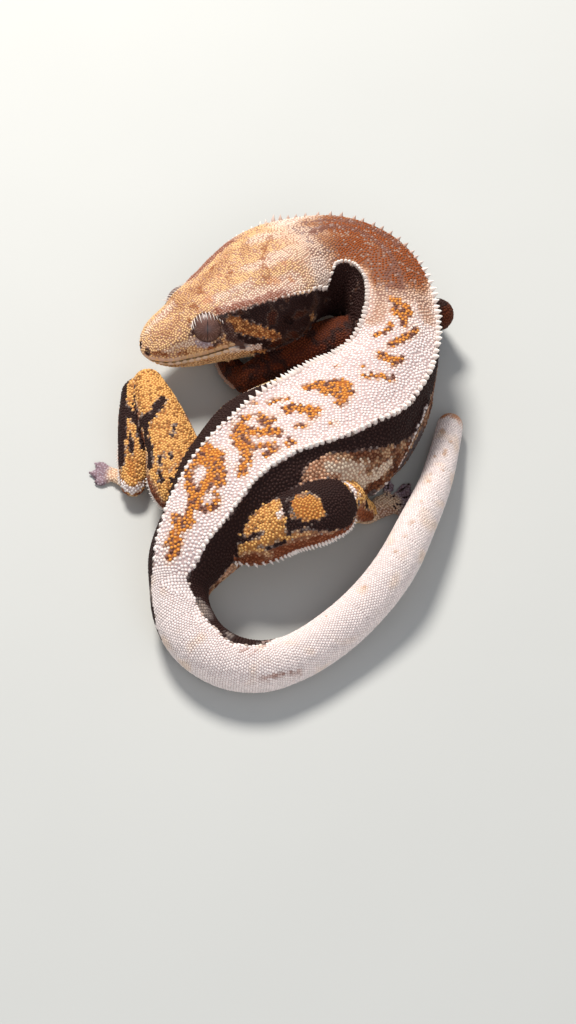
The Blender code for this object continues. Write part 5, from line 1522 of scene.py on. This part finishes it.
# Rings of a spine: share of its length, share of its half width
SPINE_RINGS = ((-0.25, 1.05), (0.0, 1.0), (0.25, 0.84), (0.5, 0.60), (0.75, 0.34), (0.92, 0.14))
SPINE_BEND = 0.35
SPINE_OUTWARD = 0.75
SPINE_UNEVENNESS = 0.06
SPINE_VARIATION = (0.82, 1.12)
spine_material, spine_shader, paint = new_material("spine", 0.42, specular_ior_level=0.5)
SPINE_ROOT_COLOUR = linear(226, 206, 196)
SPINE_TIP_COLOUR = linear(252, 246, 238)
SPINE_RUST = linear(150, 88, 40)
SPINE_DARK = linear(30, 18, 16)
spine_colour = field("lift").blend(SPINE_ROOT_COLOUR, SPINE_TIP_COLOUR)
spine_colour = (field("rust") * 0.9).blend(spine_colour, SPINE_RUST)
spine_colour = (field("dark") * 0.9).blend(spine_colour, SPINE_DARK)
spine_noise = paint.node("TexNoise", None, {"Scale": 900.0, "Detail": 3.0})
feed(
    spine_shader, base_color=spine_colour * (0.86 + spine_noise * 0.22 + field("tone") * 0.08),
    normal=paint.node("Bump", None, {"Strength": 0.3, "Distance": 0.00005, "Height": spine_noise}))


def spots_in_row(count):
    """Places on the map side by side in one row."""
    return np.stack([(np.arange(count) + 0.5) / count, np.full(count, 0.5)], 1)


def spines(
        name, roots, outward, lean, length, half_width, fields, spots, bend=SPINE_BEND,
        material=spine_material):
    """Joined tapering spines that bend towards lean."""
    lean = lean - outward * np.einsum("ij,ij->i", lean, outward)[:, None]
    lean /= np.linalg.norm(lean, axis=1)[:, None] + 1e-9
    beside = np.cross(outward, lean)
    turn = np.linspace(0, 2 * math.pi, SPINE_SIDES, endpoint=False)
    rings = []
    for share, wide in SPINE_RINGS:
        bent = lean * (bend * length * max(share, 0) ** 2)[:, None]
        middle = roots + outward * (share * length)[:, None] + bent
        rings.append(
            middle[:, None] + lean[:, None] * (half_width[:, None] * wide * np.cos(turn))[..., None]
            + beside[:, None] * (half_width[:, None] * wide * np.sin(turn))[..., None])
    tip = roots + outward * length[:, None] + lean * (bend * length)[:, None]
    points = np.concatenate([*rings, rings[0].mean(1, keepdims=True), tip[:, None]], 1)
    count = points.shape[1]
    faces = tube_faces(len(SPINE_RINGS), SPINE_SIDES)
    faces = (faces[None] + np.arange(len(roots))[:, None, None] * count).reshape(-1, 3)
    shares = np.concatenate([np.repeat([max(s, 0) for s, w in SPINE_RINGS], SPINE_SIDES), [0.0, 1.0]])
    made = {key: np.repeat(values, count) for key, values in fields.items()}
    made["lift"] = np.tile(shares, len(roots))
    around = np.concatenate([np.tile(turn, len(SPINE_RINGS)), [0.0, 0.0]])
    radius = PATCH * (1 - shares)
    offset = np.stack([radius * np.cos(around), radius * np.sin(around)], 1)
    return make_piece(
        name, points.reshape(-1, 3), faces, material, made,
        (spots[:, None] + offset[None]).reshape(-1, 2))


crest_rows = {
    side: np.arange(CREST_START + CREST_STAGGER * (side > 0), CREST_END, CREST_SPACING) for side in (-1, 1)}
crest_side = np.concatenate([np.full(len(row), side) for side, row in crest_rows.items()])
crest_at = np.concatenate(list(crest_rows.values()))
crest_at = crest_at + rng.uniform(-CREST_JITTER, CREST_JITTER, len(crest_at))
left, right_size, rise, depth, square = body_sizes(crest_at)
crest_share = crest_offset(crest_at, crest_side) / np.where(crest_side > 0, right_size, left)
crest_turn = crest_side * np.arcsin(np.clip(crest_share, 0, 0.999) ** (square / 2))
crest_points = np.vstack([
    body_surface(crest_at[k:k + 1], np.array([[crest_turn[k]]]), -SCALE_DEPTH)[0][0]
    for k in range(len(crest_at))])
centre, direction, right, up = body_frame(crest_at)
unevenness = rng.normal(0, SPINE_UNEVENNESS, (len(crest_at), 3))
crest_out = crest_side[:, None] * SPINE_OUTWARD * right + up + unevenness
crest_out /= np.linalg.norm(crest_out, axis=1)[:, None]
vary = rng.uniform(*SPINE_VARIATION, len(crest_at))
crest_length = np.interp(crest_at, SPINE_LENGTHS[:, 0], SPINE_LENGTHS[:, 1]) * vary
crest_width = np.interp(crest_at, SPINE_WIDTHS[:, 0], SPINE_WIDTHS[:, 1]) * (0.5 + 0.5 * vary)
head_brown = step(crest_at, 26.0, 20.0) * 0.75
nape_brown = step(crest_at, 27.0, 32.0) * step(crest_at, 50.0, 44.0) * (crest_side > 0) * 0.7
crest_brown = head_brown + nape_brown
crest_fields = {"rust": crest_brown, "dark": np.zeros(len(crest_at)), "tone": rng.random(len(crest_at))}
crest_spots = np.stack(
    [MAP_EDGE + MAP_SPAN * crest_at / CREST_MAP_LENGTH, np.where(crest_side > 0, 0.75, 0.25)], 1)
spines(
    "crest_spines", crest_points, crest_out, direction, crest_length, crest_width,
    crest_fields, crest_spots)


# Lashes: a fan of soft pointed scales over each eye, rooted along the upper edge of its rim. They
# droop over the ball and bend back up at their tips.
LASHES = 12
LASH_LENGTH = 1.9
LASH_HALF_WIDTH = 0.14
LASH_SPREAD = 124.0
LASH_MIDDLE = 2.0
LASH_PLANE = 0.52
LASH_BEYOND_RIM = 0.1
LASH_DROOP = 0.85
LASH_FAN = 0.45
LASH_BEND = -0.2
LASH_VARIATION = (0.75, 1.1)
LASH_RUST = (0.15, 0.4)
LASH_DARK = (0.0, 0.12)
lash_roots = []
lash_out = []
lash_lean = []
for word, (centre, aim, side) in eyes_at.items():
    up_here = across_aims(head_vector(0, 0, 1, side), aim)
    back = across_aims(head_vector(1, 0, 0, side), aim, up_here)
    for k in range(LASHES):
        angle = math.radians(LASH_MIDDLE + LASH_SPREAD * (k / (LASHES - 1) - 0.5))
        spoke = up_here * math.cos(angle) + back * math.sin(angle)
        lash_roots.append(centre + aim * (EYE_RADIUS * LASH_PLANE) + spoke * (RIM_RADIUS + LASH_BEYOND_RIM))
        lash_out.append(aim + back * math.sin(angle) * LASH_FAN - up_here * LASH_DROOP)
        lash_lean.append(spoke)
lash_roots, lash_out, lash_lean = (np.array(v) for v in (lash_roots, lash_out, lash_lean))
lash_out /= np.linalg.norm(lash_out, axis=1)[:, None]
lash_count = len(lash_roots)
spines(
    "eyelashes", lash_roots, lash_out, lash_lean,
    LASH_LENGTH * rng.uniform(*LASH_VARIATION, lash_count), np.full(lash_count, LASH_HALF_WIDTH),
    {"rust": rng.uniform(*LASH_RUST, lash_count), "dark": rng.uniform(*LASH_DARK, lash_count),
     "tone": rng.random(lash_count)},
    spots_in_row(lash_count), bend=LASH_BEND)


# Fringe: two rows of short soft spines along the edge of a fold of skin on the legs. They lie a
# little below the widest line of the leg and lean towards its end.
# Leg, side of it that the fringe is on, and the share of its length where it starts and ends
FRINGES = (
    ("hind_right_thigh", -1, 0.02, 0.99), ("hind_left_thigh", 1, 0.20, 0.34),
    ("hind_left_shank", -1, 0.62, 0.98), ("fore_left_lower", 1, 0.1, 0.95),
)
FRINGE_RUST = {"fore_left_lower": 0.85}
FRINGE_PLAIN_RUST = 0.08
FRINGE_SPACING = 0.52
FRINGE_LENGTH = 0.62
FRINGE_HALF_WIDTH = 0.26
FRINGE_LOWERED = (14.0, 23.0)
FRINGE_VARIATION = (0.75, 1.15)
FRINGE_FARTHEST = 0.6
fringe_roots = []
fringe_out = []
fringe_lean = []
fringe_rust = []
for part, side, start, end in FRINGES:
    table = np.array(LEGS[part])
    dense, along, stations = smooth_line(table[:, :3])
    at = np.arange(start * along[-1], end * along[-1], FRINGE_SPACING)
    direction_here, right_here, up_here = frames_along(dense, along, np.clip(at, 0.6, along[-1] - 0.6))
    wide = smooth_values(stations, table[:, 3], at) - SCALE_DEPTH
    high = smooth_values(stations, table[:, 4], at) - SCALE_DEPTH
    for lowered in FRINGE_LOWERED:
        angle = math.radians(lowered)
        fringe_roots.append(
            line_points(dense, along, at) + side * right_here * (wide * math.cos(angle))[:, None]
            - up_here * (high * math.sin(angle))[:, None])
        fringe_out.append(side * right_here * math.cos(angle) - up_here * math.sin(angle))
        fringe_lean.append(direction_here)
        fringe_rust.extend([FRINGE_RUST.get(part, FRINGE_PLAIN_RUST)] * len(at))
fringe_roots, fringe_out, fringe_lean = (np.vstack(v) for v in (fringe_roots, fringe_out, fringe_lean))
on_skin, _, away = settle(fringe_roots)
kept = away < FRINGE_FARTHEST
fringe_roots, fringe_out, fringe_lean = on_skin[kept], fringe_out[kept], fringe_lean[kept]
fringe_count = len(fringe_roots)
spines(
    "leg_fringe", fringe_roots, fringe_out, fringe_lean,
    FRINGE_LENGTH * rng.uniform(*FRINGE_VARIATION, fringe_count),
    np.full(fringe_count, FRINGE_HALF_WIDTH),
    {"rust": np.array(fringe_rust)[kept], "dark": np.zeros(fringe_count), "tone": rng.random(fringe_count)},
    spots_in_row(fringe_count))


# Lips: a row of larger flat scales above the mouth line and one below it, on each side. They are
# low plates with rounded corners on the skin.
LIP_SPACING = 1.12
LIP_HEIGHT = 0.46
LIP_RISE = 0.07
LIP_OFF = 0.56
LIP_START = 0.7
LIP_END = 13.4
LIP_SIDES = 12
LIP_SHARE = 0.56             # half the length of a plate, as a share of the spacing
lip_roots = []
lip_at = []
lip_above = []
for side in (-1, 1):
    for row in (1, -1):
        for behind in np.arange(LIP_START, LIP_END, LIP_SPACING):
            drop = float(smooth_values(MOUTH_LINE[:, 0], MOUTH_LINE[:, 1], behind))
            out_to_lip = lip_outline(behind, max(drop - row * LIP_OFF, 0.05), side)
            lip_roots.append(head_point(behind, out_to_lip, row * LIP_OFF - drop, side))
            lip_at.append(behind)
            lip_above.append(row)
lip_roots = np.array(lip_roots)
lip_at = np.array(lip_at)
lip_above = np.array(lip_above)
lip_on, lip_out, away = settle(lip_roots)
lip_along, lip_across = lie_of(lip_out, body_frame(lip_at)[1])
lip_tone = rng.random(len(lip_at))
lip_marks = markings(lip_on, np.zeros(len(lip_at), int), *where_on_animal(lip_on)[1:], np.ones(len(lip_at)))
lip_marks["lilac"] = np.where(lip_above < 0, 0.2 + 0.15 * lip_tone, 0.2)
lip_marks["rust"] = np.where(lip_above > 0, 0.1 + 0.3 * lip_tone, 0.0)
lip_marks["white"] = np.where(lip_above < 0, 0.25, 0.0)
for mark in ("dark", "amber", "brown"):
    lip_marks[mark] = np.zeros(len(lip_at))
points, lifts, faces = domes(
    lip_on, lip_out, lip_along, lip_across, np.full(len(lip_at), LIP_SPACING * LIP_SHARE),
    np.full(len(lip_at), LIP_HEIGHT), np.full(len(lip_at), LIP_RISE), sides=LIP_SIDES, lean=0.0)
lip_fields = {mark: np.repeat(values, points.shape[1]) for mark, values in lip_marks.items()}
# Lip plates take little of the painted groove shade
lip_fields["lift"] = 0.6 + 0.2 * lifts.ravel()
lip_fields["tone"] = np.repeat(lip_tone, points.shape[1])
lip_offsets = np.tile(rng.uniform(-PATCH, PATCH, (points.shape[1], 2)), (len(lip_at), 1))
make_piece(
    "lip_scales", points.reshape(-1, 3), faces, skin_material, lip_fields,
    np.repeat(spots_in_row(len(lip_at)), points.shape[1], axis=0) + lip_offsets)


# Claws: a small dark hook of horn at the end of each toe. It stands above the toe's pad and bends
# down towards the floor.
CLAW_LENGTH = 0.7
CLAW_HALF_WIDTH = 0.16
CLAW_HEIGHT = 0.62
CLAW_PLACE = 0.84
CLAW_BEND = 0.4
CLAW_ROOT_COLOUR = linear(70, 52, 50)
CLAW_TIP_COLOUR = linear(24, 18, 18)
claw_material, claw_shader, paint = new_material("claw", 0.28)
claw_streaks = paint.node("TexNoise", None, {"Scale": 1200.0, "Detail": 2.0})
claw_colour = field("lift").blend(CLAW_ROOT_COLOUR, CLAW_TIP_COLOUR)
feed(claw_shader, base_color=claw_colour * (0.8 + claw_streaks * 0.4))
claw_roots = []
claw_out = []
for part, (heel, middle, toes) in FEET.items():
    for heading, length in toes:
        reach = toe_heading(heading)
        claw_roots.append(np.array([*middle, CLAW_HEIGHT]) + reach * (TOE_START + length * CLAW_PLACE))
        claw_out.append(reach)
claw_roots = np.array(claw_roots)
claw_out = np.array(claw_out)
claw_count = len(claw_roots)
spines(
    "claws", claw_roots, claw_out, np.tile([0.0, 0.0, -1.0], (claw_count, 1)),
    np.full(claw_count, CLAW_LENGTH), np.full(claw_count, CLAW_HALF_WIDTH), {"tone": np.zeros(claw_count)},
    spots_in_row(claw_count), bend=CLAW_BEND, material=claw_material)
